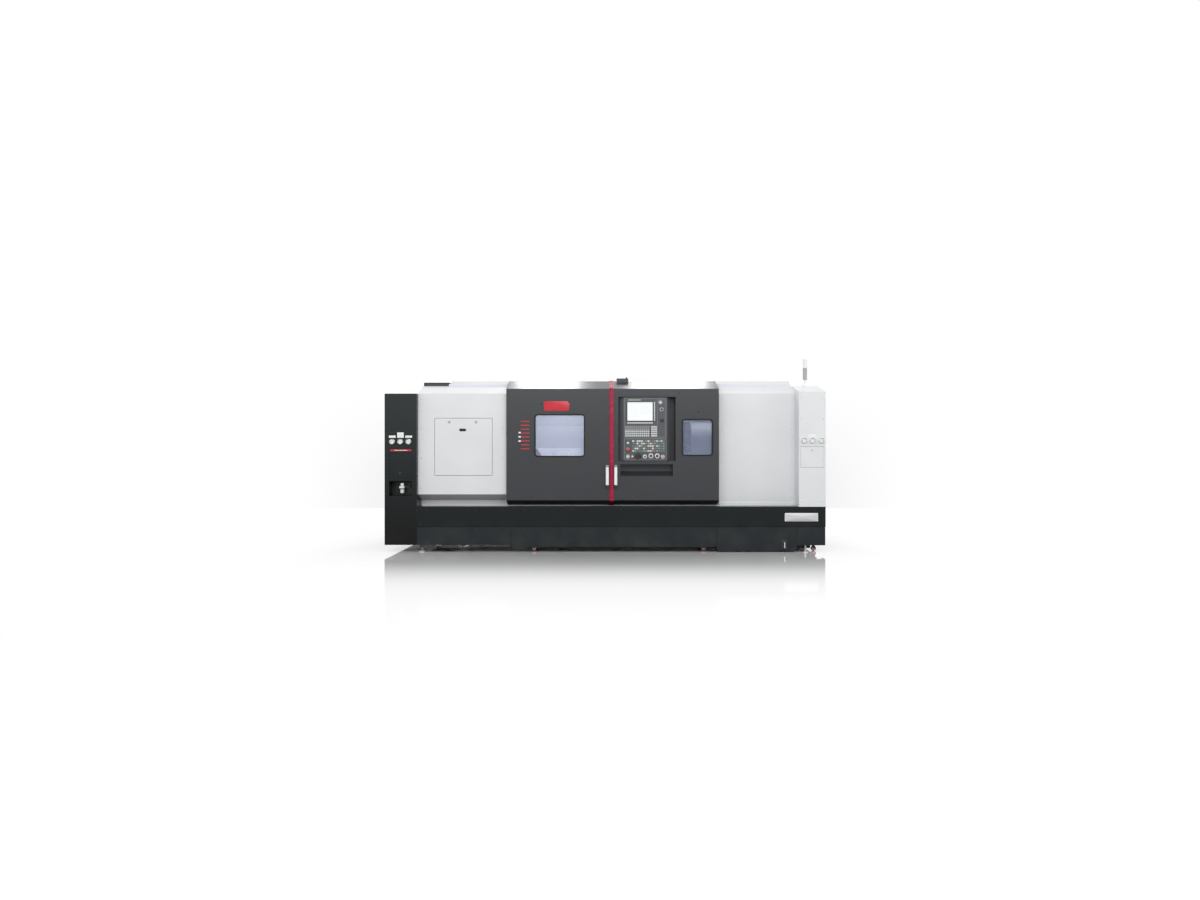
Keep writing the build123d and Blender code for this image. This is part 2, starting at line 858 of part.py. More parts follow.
def make_chamber_walls():
    chute_bottom = tank_top + chute_gap
    left = bulkhead(
        bulkhead_left, chamber_left, bulkhead_front, [(skirt_y, skirt_knee), (bulkhead_front, bulkhead_knee)]
    )
    left -= rod_x(bulkhead_left - 1, chamber_left + 1, spindle_y, spindle_z, spindle_nose + 1)
    right_front = right_cover_y + cover_wall + 5
    right = bulkhead(
        chamber_right,
        chamber_right + bulkhead_wall,
        right_front,
        [(skirt_y, right_bulkhead_low), (right_front, right_bulkhead_low)],
    )
    lean_top = roof_z - cover_wall - 1
    wall_outline = [(wall_back, bed_high_z), (wall_back, wall_fold_z), (wall_lean, lean_top)]
    back_wall = side_prism(band(wall_outline, sheet), chamber_left, chamber_right)
    back_wall -= block(chamber_left - 1, chamber_right + 1, wall_lean, wall_back, lean_top, roof_z)
    roof = block(
        bulkhead_left, right_cover_left, roof_edge_y, cabinet_y, roof_z - cover_wall, roof_z
    )
    header = block(
        chamber_left,
        right_cover_left,
        roof_edge_y,
        roof_edge_y + header_depth,
        roof_z - header_drop,
        roof_z - cover_wall,
    )
    chute = side_prism(
        [
            (skirt_y, base_top),
            (skirt_y, skirt_knee),
            (skirt_y + chute_wall, skirt_knee),
            (skirt_y + chute_slope + chute_wall, chute_bottom),
            (skirt_y + chute_slope, chute_bottom),
            (skirt_y + ledge_lap, base_top),
        ],
        chamber_left,
        chamber_right,
    )
    rail_left = left_door_left - left_travel - rail_spare
    rail_right = right_door_right + right_travel + rail_spare
    foot_rail = block(
        rail_left,
        rail_right,
        foot_flange_front + 3,
        foot_flange_back - 4,
        base_top,
        door_bottom - running_gap,
    )
    hood_rail_top = door_hood_top - door_wall - running_gap
    hood_rail = block(
        rail_left, rail_right, hood_flange_back - 20, hood_flange_back - 8, roof_z, hood_rail_top
    )
    left_fixed = way_cover(chamber_left, chamber_left + left_section, 0)
    right_fixed = way_cover(chamber_right - right_section, chamber_right, 0)
    return separate(
        left, right, back_wall, roof, header, chute, foot_rail, hood_rail, left_fixed, right_fixed
    )


nodes["chamber_walls"] = make_chamber_walls()

# Moving way covers: half the carriage's travel
carriage_left = 1100
carriage_right = 1480
left_middle_start = chamber_left + left_section - cover_lap
left_middle = (left_middle_start, left_middle_start + left_section)
right_middle_start = carriage_right + 3
right_middle = (right_middle_start, right_middle_start + right_section)
nodes["way_cover_left"] = way_cover(*left_middle, 1)
nodes["way_cover_right"] = way_cover(*right_middle, 1)

# Carriage on the two upper rails
saddle_low = 125
saddle_high = 565
saddle_bottom = 4
saddle_top = 91
slide_rails = (1170, 1410)
slide_rail_width = 30
slide_rail_height = 24


def grooved(low, high, bottom, top, rails, groove_top):
    """An outline in t and n of a slide with a groove over each rail."""
    half = rail_width / 2 + running_gap
    points = [(low, bottom)]
    for middle in rails:
        points += [
            (middle - half, bottom),
            (middle - half, groove_top),
            (middle + half, groove_top),
            (middle + half, bottom),
        ]
    return points + [(high, bottom), (high, top), (low, top)]


def make_carriage():
    outline = grooved(
        saddle_low, saddle_high, saddle_bottom, saddle_top, carriage_rails, rail_height + running_gap
    )
    saddle = bed_prism(outline, carriage_left, carriage_right)
    half = slide_rail_width / 2
    rail_top = saddle_top + slide_rail_height
    for x in slide_rails:
        saddle += bed_block(x - half, x + half, saddle_low, saddle_high, saddle_top, rail_top)
    left = way_cover(carriage_left - left_section, carriage_left, 2)
    right = way_cover(carriage_right, carriage_right + right_section, 2)
    return separate(saddle, left, right)


nodes["carriage"] = make_carriage()

# Cross slide and turret
turret_t = 470
turret_radius = 228
disc_left = 960
disc_right = 1090
housing_radius = 150
housing_right = 1440
slide_bottom = saddle_top + 6
slide_top = 150
turret_shaft = 60
turret_shaft_length = 130
housing_foot = 165
slide_low = 250
slide_high = 670
disc_recess = 95
disc_hub = 60
block_holder = (36, 34)  # half width and height
drill_holder = (40, 62)
holder_inset = 15
shank = 25
shank_reach = 42
insert_width = 20
drill_radius = 12
drill_reach = 118
collet_radius = 28
tool_height = 30  # of a drill's line above the disc's flats
stations = 12
turret_y, turret_z = on_bed(turret_t, axis_height)


def make_cross_slide():
    base = bed_block(carriage_left + 5, carriage_right - 5, slide_low, slide_high, slide_bottom, slide_top)
    half = slide_rail_width / 2 + running_gap
    groove_top = saddle_top + slide_rail_height + running_gap
    for x in slide_rails:
        base -= bed_block(x - half, x + half, slide_low - 1, slide_high + 1, slide_bottom - 1, groove_top)
    foot = bed_prism(
        [
            (turret_t - housing_foot, slide_top),
            (turret_t + housing_foot, slide_top),
            (turret_t + housing_radius, axis_height),
            (turret_t - housing_radius, axis_height),
        ],
        carriage_left + 5,
        housing_right,
    )
    housing = bed_rod(disc_right + 0.5, housing_right, turret_t, axis_height, housing_radius)
    housing = chamfer(housing.edges().group_by(Axis.X)[-1], 18)
    bore_end = disc_right + turret_shaft_length + 0.5
    bore = bed_rod(disc_right, bore_end, turret_t, axis_height, turret_shaft + shaft_clearance)
    return base + foot + housing - bore


def make_turret():
    apothem = turret_radius * cos(pi / stations)
    face = Plane.YZ.offset(disc_left) * RegularPolygon(turret_radius, stations)
    disc = extrude(face, amount=disc_right - disc_left)
    disc = chamfer(disc.edges().group_by(Axis.X)[0], 10)
    disc -= rod_x(disc_left - 1, disc_left + 12, 0, 0, disc_recess)
    disc += rod_x(disc_left - 8, disc_left + 13, 0, 0, disc_hub)
    disc += rod_x(disc_right - 1, disc_right + turret_shaft_length, 0, 0, turret_shaft)
    holder_left = disc_left + holder_inset
    holder_right = disc_right - holder_inset
    seat = apothem - 2
    for i in range(stations):
        turn = Rot(360 / stations * (i + 0.5), 0, 0)
        if i % 2:
            # A block holder clamps a square shank with its insert
            half, height = block_holder
            holder = block(holder_left, holder_right, -half, half, seat, apothem + height)
            shank_left = disc_left - shank_reach
            tip = apothem + 6 + shank
            holder += block(shank_left, disc_left + 90, -shank - 5, -5, apothem + 6, tip)
            holder += block(shank_left, shank_left + insert_width, -shank - 5, -5, tip - 1, tip + 13)
        else:
            # A drill holder carries a collet and a drill
            half, height = drill_holder
            holder = block(holder_left, holder_right, -half, half, seat, apothem + height)
            line = apothem + tool_height
            collet_left = disc_left - 14
            holder += rod_x(collet_left, holder_left + 1, 0, line, collet_radius)
            holder += rod_x(disc_left - drill_reach, collet_left + 1, 0, line, drill_radius)
        disc += turn * holder
    return Pos(0, turret_y, turret_z) * disc


nodes["cross_slide"] = make_cross_slide()
nodes["turret"] = make_turret()

# Tailstock on the two lower rails, with its quill and centre
tail_left = 1590
tail_right = 1930
quill_radius = 50
barrel_radius = 95
tail_foot = (-260, 80)
tail_foot_top = 75
quill_reach = 70
centre_length = 70
centre_radius = 32


def make_tailstock():
    outline = grooved(*tail_foot, saddle_bottom, tail_foot_top, tail_rails, rail_height + running_gap)
    body = bed_prism(outline, tail_left, tail_right)
    body += bed_prism(
        [
            (tail_foot[0] + 30, tail_foot_top - 1),
            (tail_foot[1] - 10, tail_foot_top - 1),
            (barrel_radius - 3, axis_height),
            (3 - barrel_radius, axis_height),
        ],
        tail_left,
        tail_right,
    )
    barrel = bed_rod(tail_left - 20, tail_right, 0, axis_height, barrel_radius)
    body += chamfer(barrel.edges().group_by(Axis.X)[0], 8)
    bore = bed_rod(tail_left - 21, tail_right - 40, 0, axis_height, quill_radius + shaft_clearance)
    return body - bore


def make_quill():
    quill_left = tail_left - quill_reach
    quill = bed_rod(quill_left, tail_right - 60, 0, axis_height, quill_radius)
    quill = chamfer(quill.edges().group_by(Axis.X)[0], 6)
    middle_x = quill_left - centre_length / 2 + 1
    centre = Pos(middle_x, spindle_y, spindle_z) * Rot(0, -90, 0) * Cone(centre_radius, 1.5, centre_length)
    return quill + centre


nodes["tailstock"] = make_tailstock()
nodes["quill"] = make_quill()

# Headstock, spindle and chuck
headstock_left = -1560
headstock_right = bulkhead_left - 30
headstock_radius = 200
headstock_foot = 230
motor_length = 380
nose_flange = 105
jaw_steps = ((22, 146), (44, 118), (62, 90))
jaw_root = 58
spindle_radius = 70
bar_radius = 45
guard_left = -1680
guard_radius = 175
motor_guard_radius = 128
motor_y = spindle_y - 210
motor_z = spindle_z - 290
motor_radius = 105
actuator_radius = 110
spindle_end = -1900
nose_end = chamber_left - 2
chuck_radius = 152.5
chuck_back = nose_end + 27
chuck_front = chuck_back + 130
jaw_width = 36
jaw_depth = 12


def make_headstock():
    half = headstock_radius
    casting = bed_prism(
        [(-headstock_foot, 0), (headstock_foot, 0), (half, axis_height), (-half, axis_height)],
        headstock_left,
        headstock_right,
    )
    casting += rod_x(headstock_left, headstock_right, spindle_y, spindle_z, headstock_radius)
    casting += rod_x(headstock_right - 1, nose_end - 0.5, spindle_y, spindle_z, spindle_nose)
    bore = rod_x(headstock_left - 1, nose_end + 1, spindle_y, spindle_z, spindle_radius + shaft_clearance)
    # The belt guard wraps both pulleys
    spindle_end_round = Pos(spindle_y, spindle_z) * Circle(guard_radius)
    motor_end_round = Pos(motor_y, motor_z) * Circle(motor_guard_radius)
    guard_face = make_hull(spindle_end_round.edges() + motor_end_round.edges())
    guard = extrude(Plane.YZ.offset(guard_left) * guard_face, amount=headstock_left - guard_left)
    guard -= rod_x(guard_left - 1, headstock_left + 1, spindle_y, spindle_z, spindle_radius + 4)
    motor = rod_x(headstock_left, headstock_left + motor_length, motor_y, motor_z, motor_radius)
    motor = chamfer(motor.edges().group_by(Axis.X)[-1], 10)
    return separate(casting - bore, guard, motor)


def make_spindle():
    body = rod_x(spindle_end + 1, nose_end + 1, spindle_y, spindle_z, spindle_radius)
    body += rod_x(nose_end, chuck_back, spindle_y, spindle_z, nose_flange)
    actuator = rod_x(spindle_end, guard_left - 40, spindle_y, spindle_z, actuator_radius)
    body += chamfer(actuator.edges(), 6)
    chuck = rod_x(chuck_back, chuck_front, spindle_y, spindle_z, chuck_radius)
    chuck = chamfer(chuck.edges().group_by(Axis.X)[-1], 6)
    slot_half = jaw_width / 2 + running_gap
    for turn in (0, 120, 240):
        slot = block(
            chuck_front - jaw_depth - running_gap,
            chuck_front + 1,
            -slot_half,
            slot_half,
            bar_radius - 5,
            chuck_radius + 1,
        )
        chuck -= Pos(0, spindle_y, spindle_z) * Rot(turn, 0, 0) * slot
    return body + chuck - rod_x(spindle_end - 1, chuck_front + 1, spindle_y, spindle_z, bar_radius)


def chuck_jaw(turn):
    """A stepped top jaw, drawn upright and turned to its slot."""
    seat = chuck_front - jaw_depth
    profile = [(seat, jaw_root), (seat, jaw_steps[0][1])]
    for (reach, height), (_, next_height) in zip(jaw_steps, jaw_steps[1:] + ((0, jaw_root),)):
        profile += [(chuck_front + reach, height), (chuck_front + reach, next_height)]
    face = make_face(Plane.XZ * Polyline(*profile, close=True))
    jaw = extrude(face, amount=jaw_width / 2, both=True)
    return Pos(0, spindle_y, spindle_z) * Rot(turn, 0, 0) * jaw


nodes["headstock"] = make_headstock()
nodes["spindle"] = make_spindle()
for number, turn in enumerate((0, 120, 240), 1):
    nodes[f"chuck_jaw_{number}"] = chuck_jaw(turn)

# Rear electrical cabinet with one door and a main switch, and the raised roof in front of it
cabinet_door = (-800, 100, 300, 1900)
cabinet_recess = 220
drive_pitch = 190
drive_width = 150
drive_z = (1150, 1600)
terminal_z = (600, 820)
switch_x = 320
switch_z = 1500
raised_left = tower_right + 324
raised_front = front_y + 460


def make_rear_cabinet():
    body = block(cabinet_left, cabinet_right, cabinet_y, rear_y, frame_bottom, rear_roof_z)
    body -= flush_recess(*cabinet_door, rear_y, 1, cabinet_recess)
    inner = rear_y - cabinet_recess
    for i in range(4):
        x = cabinet_door[0] + 100 + drive_pitch * i
        body += block(x, x + drive_width, inner - 1, inner + 120, *drive_z)
        body += block(x + 10, x + drive_width - 20, inner - 1, inner + 70, *terminal_z)
    body -= rod_y(rear_y - 20, rear_y + 1, switch_x, switch_z, 6 + shaft_clearance)
    raised = block(raised_left, cabinet_right, raised_front, cabinet_y, roof_z, rear_roof_z)
    raised = chamfer(raised.edges().filter_by(Axis.X).group_by(Axis.Y)[0].group_by(Axis.Z)[-1], 12)
    return separate(body, raised)


def make_main_switch():
    switch = rod_y(rear_y - 18, rear_y + 10, switch_x, switch_z, 6)
    switch += rod_y(rear_y + running_gap, rear_y + 10, switch_x, switch_z, 30)
    grip = block(switch_x - 8, switch_x + 8, rear_y + 9, rear_y + switch_reach, switch_z - 28, switch_z + 40)
    return switch + fillet(grip.edges().filter_by(Axis.Y), 4)


nodes["rear_cabinet"] = make_rear_cabinet()
nodes["cabinet_door"] = flush_door(*cabinet_door, rear_y, 1)
nodes["main_switch"] = make_main_switch()

# Coolant and chip tank on three pairs of casters, pulled out at the right end
tank_left = -880
tank_bottom = 75
tank_wall = 5
tray_left = -820
tray_right = tank_right - 425
tray_depth = 130
tray_rib_pitch = 950
rib_wall = 8
rib_drop = 60
lid_width = 260
bar_bottom = 35
wheel_radius = 30
wheel_width = 26
axle_radius = 5
caster_x = (tank_left + 39, 1172, tank_right - 31)
caster_y = (tank_front + 30, tank_back - 30)


def make_coolant_tank():
    tank = block(tank_left, tank_right, tank_front, tank_back, tank_bottom, tank_top)
    tray_low = tank_top - tray_depth
    tank -= block(tray_left, tray_right, tank_front + 40, tank_back - 20, tray_low, tank_top + 1)
    # Two ribs cross the tray's floor, and a filler lid lies at the right end
    rib_low = tank_top - tray_depth - 1
    for x in (tray_left + tray_rib_pitch, tray_left + 2 * tray_rib_pitch):
        tank += block(x, x + rib_wall, tank_front + 39, tank_back - 19, rib_low, tank_top - rib_drop)
    lid_left = tray_right + 60
    lid_right = lid_left + lid_width
    tank += block(lid_left, lid_right, tank_front + 100, tank_back - 100, tank_top - 1, tank_top + 8)
    for x0, x1 in ((caster_x[0] + 45, caster_x[1] - 45), (caster_x[1] + 45, caster_x[2] - 45)):
        tank += block(x0, x1, tank_front + 2, tank_front + 14, bar_bottom, tank_bottom + 1)
    for x in caster_x:
        for y in caster_y:
            fork = block(x - 22, x + 22, y - 18, y + 18, tank_bottom - 8, tank_bottom + 1)
            for side in (-1, 1):
                cheek_in = y + side * (wheel_width / 2 + 1)
                cheek_out = y + side * 18
                low, high = sorted((cheek_in, cheek_out))
                fork += block(x - 13, x + 13, low, high, wheel_radius - 9, tank_bottom)
            fork -= rod_y(y - 19, y + 19, x, wheel_radius, axle_radius + shaft_clearance)
            tank += fork
    return tank


def wheel_pair(x):
    """The front and rear wheels of one caster station turn about one line."""
    wheels = []
    for y in caster_y:
        wheel = rod_y(y - wheel_width / 2, y + wheel_width / 2, x, wheel_radius, wheel_radius)
        wheel = fillet(wheel.edges(), 4)
        wheels.append(wheel + rod_y(y - 18, y + 18, x, wheel_radius, axle_radius))
    return separate(*wheels)


nodes["coolant_tank"] = make_coolant_tank()
for number, x in enumerate(caster_x, 1):
    nodes[f"tank_wheels_{number}"] = wheel_pair(x)

# Operator panel: places are counted from the plate's lower left corner
button_radius = 11
button_proud = 12
button_travel = 4
button_hole = 20
collar = 4
knob_radius = 16
knob_shaft = 5
knob_depth = 16
screen = (plate_left + 39, plate_left + 337, panel_low + 464, panel_low + 686)
start_at = (plate_left + 46, panel_low + 205)
estop_at = (plate_left + 46, panel_low + 131)
hold_at = (plate_left + 46, panel_low + 47)
key_at = (plate_left + 98, panel_low + 47)
wheel_at = (plate_left + 168, panel_low + 51)
mode_at = (plate_left + 245, panel_low + 47)
feed_at = (plate_left + 315, panel_low + 55)
speed_at = (plate_left + 389, panel_low + 55)
alarm_at = (plate_left + 454, panel_low + 44)
power_on_at = (plate_left + 426, panel_low + 680)
power_off_at = (plate_left + 441, panel_low + 599)
flap_at = (plate_left + 445, panel_low + 464)
flap_half_width = 24
flap_height = 34
flap_thick = 3
flap_pin = 1.5
buttons = {
    "start_button": start_at,
    "hold_button": hold_at,
    "alarm_button": alarm_at,
    "power_on_button": power_on_at,
    "power_off_button": power_off_at,
}
knobs = {
    "mode_knob": (mode_at, 11),
    "feed_knob": (feed_at, knob_radius),
    "speed_knob": (speed_at, knob_radius),
}
handwheel_radius = 32
key_proud = 2.5
flap_axis_y = panel_front - 3.5
flap_axis_z = flap_at[1] + flap_height / 2 + 2


def make_panel_housing():
    body = plan_prism(
        [
            (panel_left, panel_back),
            (panel_left, panel_front + cheek_depth),
            (plate_left, panel_front),
            (plate_right, panel_front),
            (panel_right, panel_front + cheek_depth),
            (panel_right, panel_back),
        ],
        panel_low,
        panel_high,
    )
    pin_low = recess_low - thin_sheet
    pin_high = recess_high + thin_sheet
    for z0, z1 in ((pin_low, panel_low + 1), (panel_high - 1, pin_high)):
        body += rod_z(z0, z1, swivel_x, swivel_y, swivel_radius)
    # The screen sits in a shallow tray
    body -= front_plate(*screen, 6, panel_front - 1, panel_front + 6)
    # A card slot lies behind a small flap that hangs between two lugs
    fx, fz = flap_at
    body -= block(fx - 18, fx + 18, panel_front - 1, panel_front + 14, fz - 11, fz + 5)
    for side in (-1, 1):
        low, high = sorted((fx + side * (flap_half_width + 0.5), fx + side * (flap_half_width + 4)))
        body += block(low, high, panel_front - 6.5, panel_front + 1, flap_axis_z - 3, flap_axis_z + 3)
    lug = flap_half_width + 5
    body -= rod_x(fx - lug, fx + lug, flap_axis_y, flap_axis_z, flap_pin + shaft_clearance)
    collar_front = panel_front - collar
    hole = button_radius + shaft_clearance
    for x, z in list(buttons.values()) + [estop_at]:
        body += rod_y(collar_front, panel_front + 1, x, z, button_radius + 5)
        body -= rod_y(collar_front - 1, panel_front + button_hole, x, z, hole)
    turned = [place for place, radius in knobs.values()] + [wheel_at, key_at]
    for x, z in turned:
        body -= rod_y(panel_front - 1, panel_front + knob_depth, x, z, knob_shaft + shaft_clearance)
    return body


def key_grid(x0, z0, columns, rows, pitch_x, pitch_z, width, height):
    """A field of low keys. x0 and z0 are the middle of its lower left key."""
    keys = []
    for i in range(columns):
        for j in range(rows):
            x = x0 + i * pitch_x - width / 2
            z = z0 + j * pitch_z - height / 2
            keys.append(block(x, x + width, panel_front - key_proud, panel_front, z, z + height))
    return keys


def make_panel_keys():
    keys = key_grid(screen[1] + 20, screen[2] + 12, 1, 9, 0, 25, 14, 16)
    keys += key_grid(screen[0] + 12, screen[2] - 24, 12, 1, 25, 0, 18, 14)
    keys += key_grid(plate_left + 24, panel_low + 290, 12, 5, 24, 26, 18, 19)
    keys += key_grid(plate_left + 328, panel_low + 290, 3, 5, 24, 26, 18, 19)
    keys += key_grid(plate_left + 108, panel_low + 112, 15, 5, 25.5, 29, 20, 20)
    return separate(*keys)


def push_button(x, z):
    inner_end = panel_front + button_hole - button_travel - 2
    cap = rod_y(panel_front - button_proud, inner_end, x, z, button_radius)
    return chamfer(cap.edges().group_by(Axis.Y)[0], 1.5)


def make_estop():
    x, z = estop_at
    inner_end = panel_front + button_hole - button_travel - 3
    stem = rod_y(panel_front - 14, inner_end, x, z, button_radius)
    mushroom = rod_y(panel_front - 26, panel_front - 12, x, z, 20)
    return stem + fillet(mushroom.edges().group_by(Axis.Y)[0], 6)


def turning_knob(x, z, radius):
    cap = rod_y(panel_front - 16, panel_front - running_gap, x, z, radius)
    cap = chamfer(cap.edges().group_by(Axis.Y)[0], 2)
    ridge = block(x - 2.5, x + 2.5, panel_front - 21, panel_front - 15, z - radius + 2, z + radius - 2)
    return cap + ridge + rod_y(panel_front - 1, panel_front + knob_depth - 2, x, z, knob_shaft)


def make_key_switch():
    x, z = key_at
    barrel = rod_y(panel_front - 6, panel_front - running_gap, x, z, 11)
    bow = front_plate(x - 3, x + 3, z - 12, z + 12, 2.5, panel_front - 24, panel_front - 5)
    return barrel + bow + rod_y(panel_front - 1, panel_front + knob_depth - 2, x, z, knob_shaft)


def make_handwheel():
    x, z = wheel_at
    rim = rod_y(panel_front - 16, panel_front - 4, x, z, handwheel_radius)
    rim = fillet(rim.edges(), 3)
    rim -= rod_y(panel_front - 17, panel_front - 11, x, z, handwheel_radius - 7)
    hub = rod_y(panel_front - 16, panel_front - running_gap, x, z, 9)
    crank = rod_y(panel_front - 30, panel_front - 10, x + 16, z + 8, 5)
    return rim + hub + crank + rod_y(panel_front - 1, panel_front + knob_depth - 2, x, z, knob_shaft)


def make_card_flap():
    fx, fz = flap_at
    leaf = block(
        fx - flap_half_width,
        fx + flap_half_width,
        flap_axis_y - 1.5,
        flap_axis_y + 1.5,
        fz - flap_height / 2,
        flap_axis_z,
    )
    knuckle = rod_x(fx - flap_half_width, fx + flap_half_width, flap_axis_y, flap_axis_z, 2.5)
    pin = rod_x(fx - flap_half_width - 3.5, fx + flap_half_width + 3.5, flap_axis_y, flap_axis_z, flap_pin)
    return leaf + knuckle + pin


nodes["panel_housing"] = make_panel_housing()
nodes["panel_screen"] = front_plate(*screen, 6, panel_front + 2, panel_front + 6)
nodes["panel_keys"] = make_panel_keys()
for name, place in buttons.items():
    nodes[name] = push_button(*place)
nodes["estop_button"] = make_estop()
for name, (place, radius) in knobs.items():
    nodes[name] = turning_knob(*place, radius)
nodes["key_switch"] = make_key_switch()
nodes["handwheel"] = make_handwheel()
nodes["card_flap"] = make_card_flap()

if __name__ == "__main__":
    os.makedirs("parts", exist_ok=True)
    for name, shape in nodes.items():
        export_step(shape, f"parts/{name}.step")
    print(len(nodes), "nodes written")
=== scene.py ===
import math

import bpy
import numpy as np
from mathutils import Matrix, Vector


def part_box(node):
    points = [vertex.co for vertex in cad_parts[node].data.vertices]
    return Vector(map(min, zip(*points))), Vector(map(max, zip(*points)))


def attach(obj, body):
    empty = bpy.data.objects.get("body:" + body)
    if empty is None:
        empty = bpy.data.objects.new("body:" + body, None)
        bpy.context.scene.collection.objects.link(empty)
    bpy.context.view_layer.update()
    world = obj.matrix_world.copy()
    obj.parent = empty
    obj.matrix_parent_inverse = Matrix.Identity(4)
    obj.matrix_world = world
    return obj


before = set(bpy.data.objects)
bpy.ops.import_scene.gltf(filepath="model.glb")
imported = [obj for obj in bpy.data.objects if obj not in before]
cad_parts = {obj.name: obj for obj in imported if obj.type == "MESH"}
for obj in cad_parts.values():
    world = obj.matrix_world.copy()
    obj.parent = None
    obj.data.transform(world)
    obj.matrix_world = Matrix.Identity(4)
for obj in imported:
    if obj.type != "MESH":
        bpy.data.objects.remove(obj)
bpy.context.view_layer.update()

bl_info = {
    "name": "Turning Lathe Finish",
    "version": (1, 0, 0),
    "blender": (4, 5, 0),
    "location": "3D View > Sidebar > Lathe",
    "description": "Finishes, fittings and studio for a long-bed turning lathe",
    "category": "Object",
}

# Planes to draw on: each has its two directions and then its outward normal
FRONT = np.array([[1, 0, 0], [0, 0, 1], [0, -1, 0]], float)
REAR = np.array([[-1, 0, 0], [0, 0, 1], [0, 1, 0]], float)
TOP = np.array([[1, 0, 0], [0, 1, 0], [0, 0, 1]], float)
LEFT = np.array([[0, -1, 0], [0, 0, 1], [-1, 0, 0]], float)
RIGHT = np.array([[0, 1, 0], [0, 0, 1], [1, 0, 0]], float)
DOWN = np.array([[1, 0, 0], [0, -1, 0], [0, 0, -1]], float)

FULL_TURN = 2 * math.pi


def corners(node):
    """The lowest and highest corner of a CAD node, as arrays."""
    low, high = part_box(node)
    return np.array(low, float), np.array(high, float)


def middle(node):
    low, high = corners(node)
    return (low + high) / 2


def face_of(node):
    """The place of a node's front along Y."""
    return corners(node)[0][1]


def level_with(node, y):
    """The middle of a node, brought to another place along Y."""
    x, _, z = middle(node)
    return x, y, z


class Form:
    """Points with four-sided and three-sided faces, kept as whole arrays."""

    def __init__(self, points, quads, tris):
        self.points = np.asarray(points, float).reshape(-1, 3)
        self.quads = np.asarray(quads, np.int64).reshape(-1, 4)
        self.tris = np.asarray(tris, np.int64).reshape(-1, 3)

    def placed(self, origin, plane=FRONT):
        """Drawn on a plane: first and second coordinate along it, the third out of it."""
        return Form(self.points @ plane + np.asarray(origin, float), self.quads, self.tris)

    def turned_about(self, angle):
        """Turned in its own drawing plane."""
        c, s = math.cos(angle), math.sin(angle)
        return Form(self.points @ np.array([[c, s, 0], [-s, c, 0], [0, 0, 1]]), self.quads, self.tris)

    def moved(self, *offset):
        return Form(self.points + np.array(offset, float), self.quads, self.tris)

    def repeated(self, places):
        """One copy at each place, all in one form."""
        places = np.asarray(places, float).reshape(-1, 3)
        count = len(places)
        step = len(self.points) * np.arange(count)[:, None, None]
        points = self.points[None] + places[:, None]
        return Form(points, self.quads[None] + step, self.tris[None] + step)


def joined(forms):
    starts = np.cumsum([0] + [len(form.points) for form in forms[:-1]])
    return Form(
        np.concatenate([form.points for form in forms]),
        np.concatenate([form.quads + start for form, start in zip(forms, starts)]),
        np.concatenate([form.tris + start for form, start in zip(forms, starts)]),
    )


def skin(rings, closed=False):
    """Joins closed lines of equally many points, one after the other. Open ends get a fan to their middle.

    Point j of ring i, point j + 1, and the same two of ring i + 1 make a face. The faces look outwards:
    where the signed volume, a sixth of the sum of a . (b x c) over the triangles, is negative, they are
    turned round.
    """
    rings = np.asarray(rings, float)
    count, size = rings.shape[:2]
    i = np.arange(count if closed else count - 1)[:, None]
    j = np.arange(size)[None, :]
    after_i = (i + 1) % count
    after_j = (j + 1) % size
    corners_of = [i * size + j, i * size + after_j, after_i * size + after_j, after_i * size + j]
    quads = np.stack(np.broadcast_arrays(*corners_of), -1).reshape(-1, 4)
    points = rings.reshape(-1, 3)
    tris = np.zeros((0, 3), np.int64)
    if not closed:
        ends = np.stack([rings[0].mean(0), rings[-1].mean(0)])
        first, last = len(points), len(points) + 1
        ring = np.arange(size)
        beside = (ring + 1) % size
        low = np.stack([beside, ring, np.full(size, first)], -1)
        top = (count - 1) * size
        high = np.stack([top + ring, top + beside, np.full(size, last)], -1)
        points = np.concatenate([points, ends])
        tris = np.concatenate([low, high])
    every = np.concatenate([quads[:, [0, 1, 2]], quads[:, [0, 2, 3]], tris])
    a, b, c = (points[every[:, k]] for k in range(3))
    if np.einsum("ij,ij->i", a, np.cross(b, c)).sum() < 0:
        quads, tris = quads[:, ::-1], tris[:, ::-1]
    return Form(points, quads, tris)


def stack(width, height, radius, section, closed=False, steps=5):
    """Round-cornered rectangles over each other.

    Each is the outline offset outwards by the section's first number, at the height of its second one.
    A corner is the corner's centre plus (radius + offset) times (cos, sin) over a quarter turn.
    """
    section = np.asarray(section, float)
    turn = np.arange(4)[:, None] * math.pi / 2 + np.linspace(0, math.pi / 2, steps + 1)[None, :]
    turn = turn.ravel()
    sides = np.array([[1, 1], [-1, 1], [-1, -1], [1, -1]], float).repeat(steps + 1, 0)
    centres = sides * (np.array([width, height]) / 2 - radius)
    reach = (radius + section[:, 0])[:, None, None]
    flat = centres[None] + reach * np.stack([np.cos(turn), np.sin(turn)], -1)[None]
    tall = np.broadcast_to(section[:, 1][:, None, None], flat.shape[:2] + (1,))
    return skin(np.concatenate([flat, tall], -1), closed)


def turned(section, steps, closed=False):
    """A turned shape: each point (r, h) of the section gives the circle (r cos a, r sin a, h)."""
    section = np.asarray(section, float)
    angle = np.linspace(0, FULL_TURN, steps, endpoint=False)
    radius = np.maximum(section[:, 0], 1e-5)[:, None]
    height = np.broadcast_to(section[:, 1][:, None], (len(section), steps))
    return skin(np.stack([radius * np.cos(angle), radius * np.sin(angle), height], -1), closed)


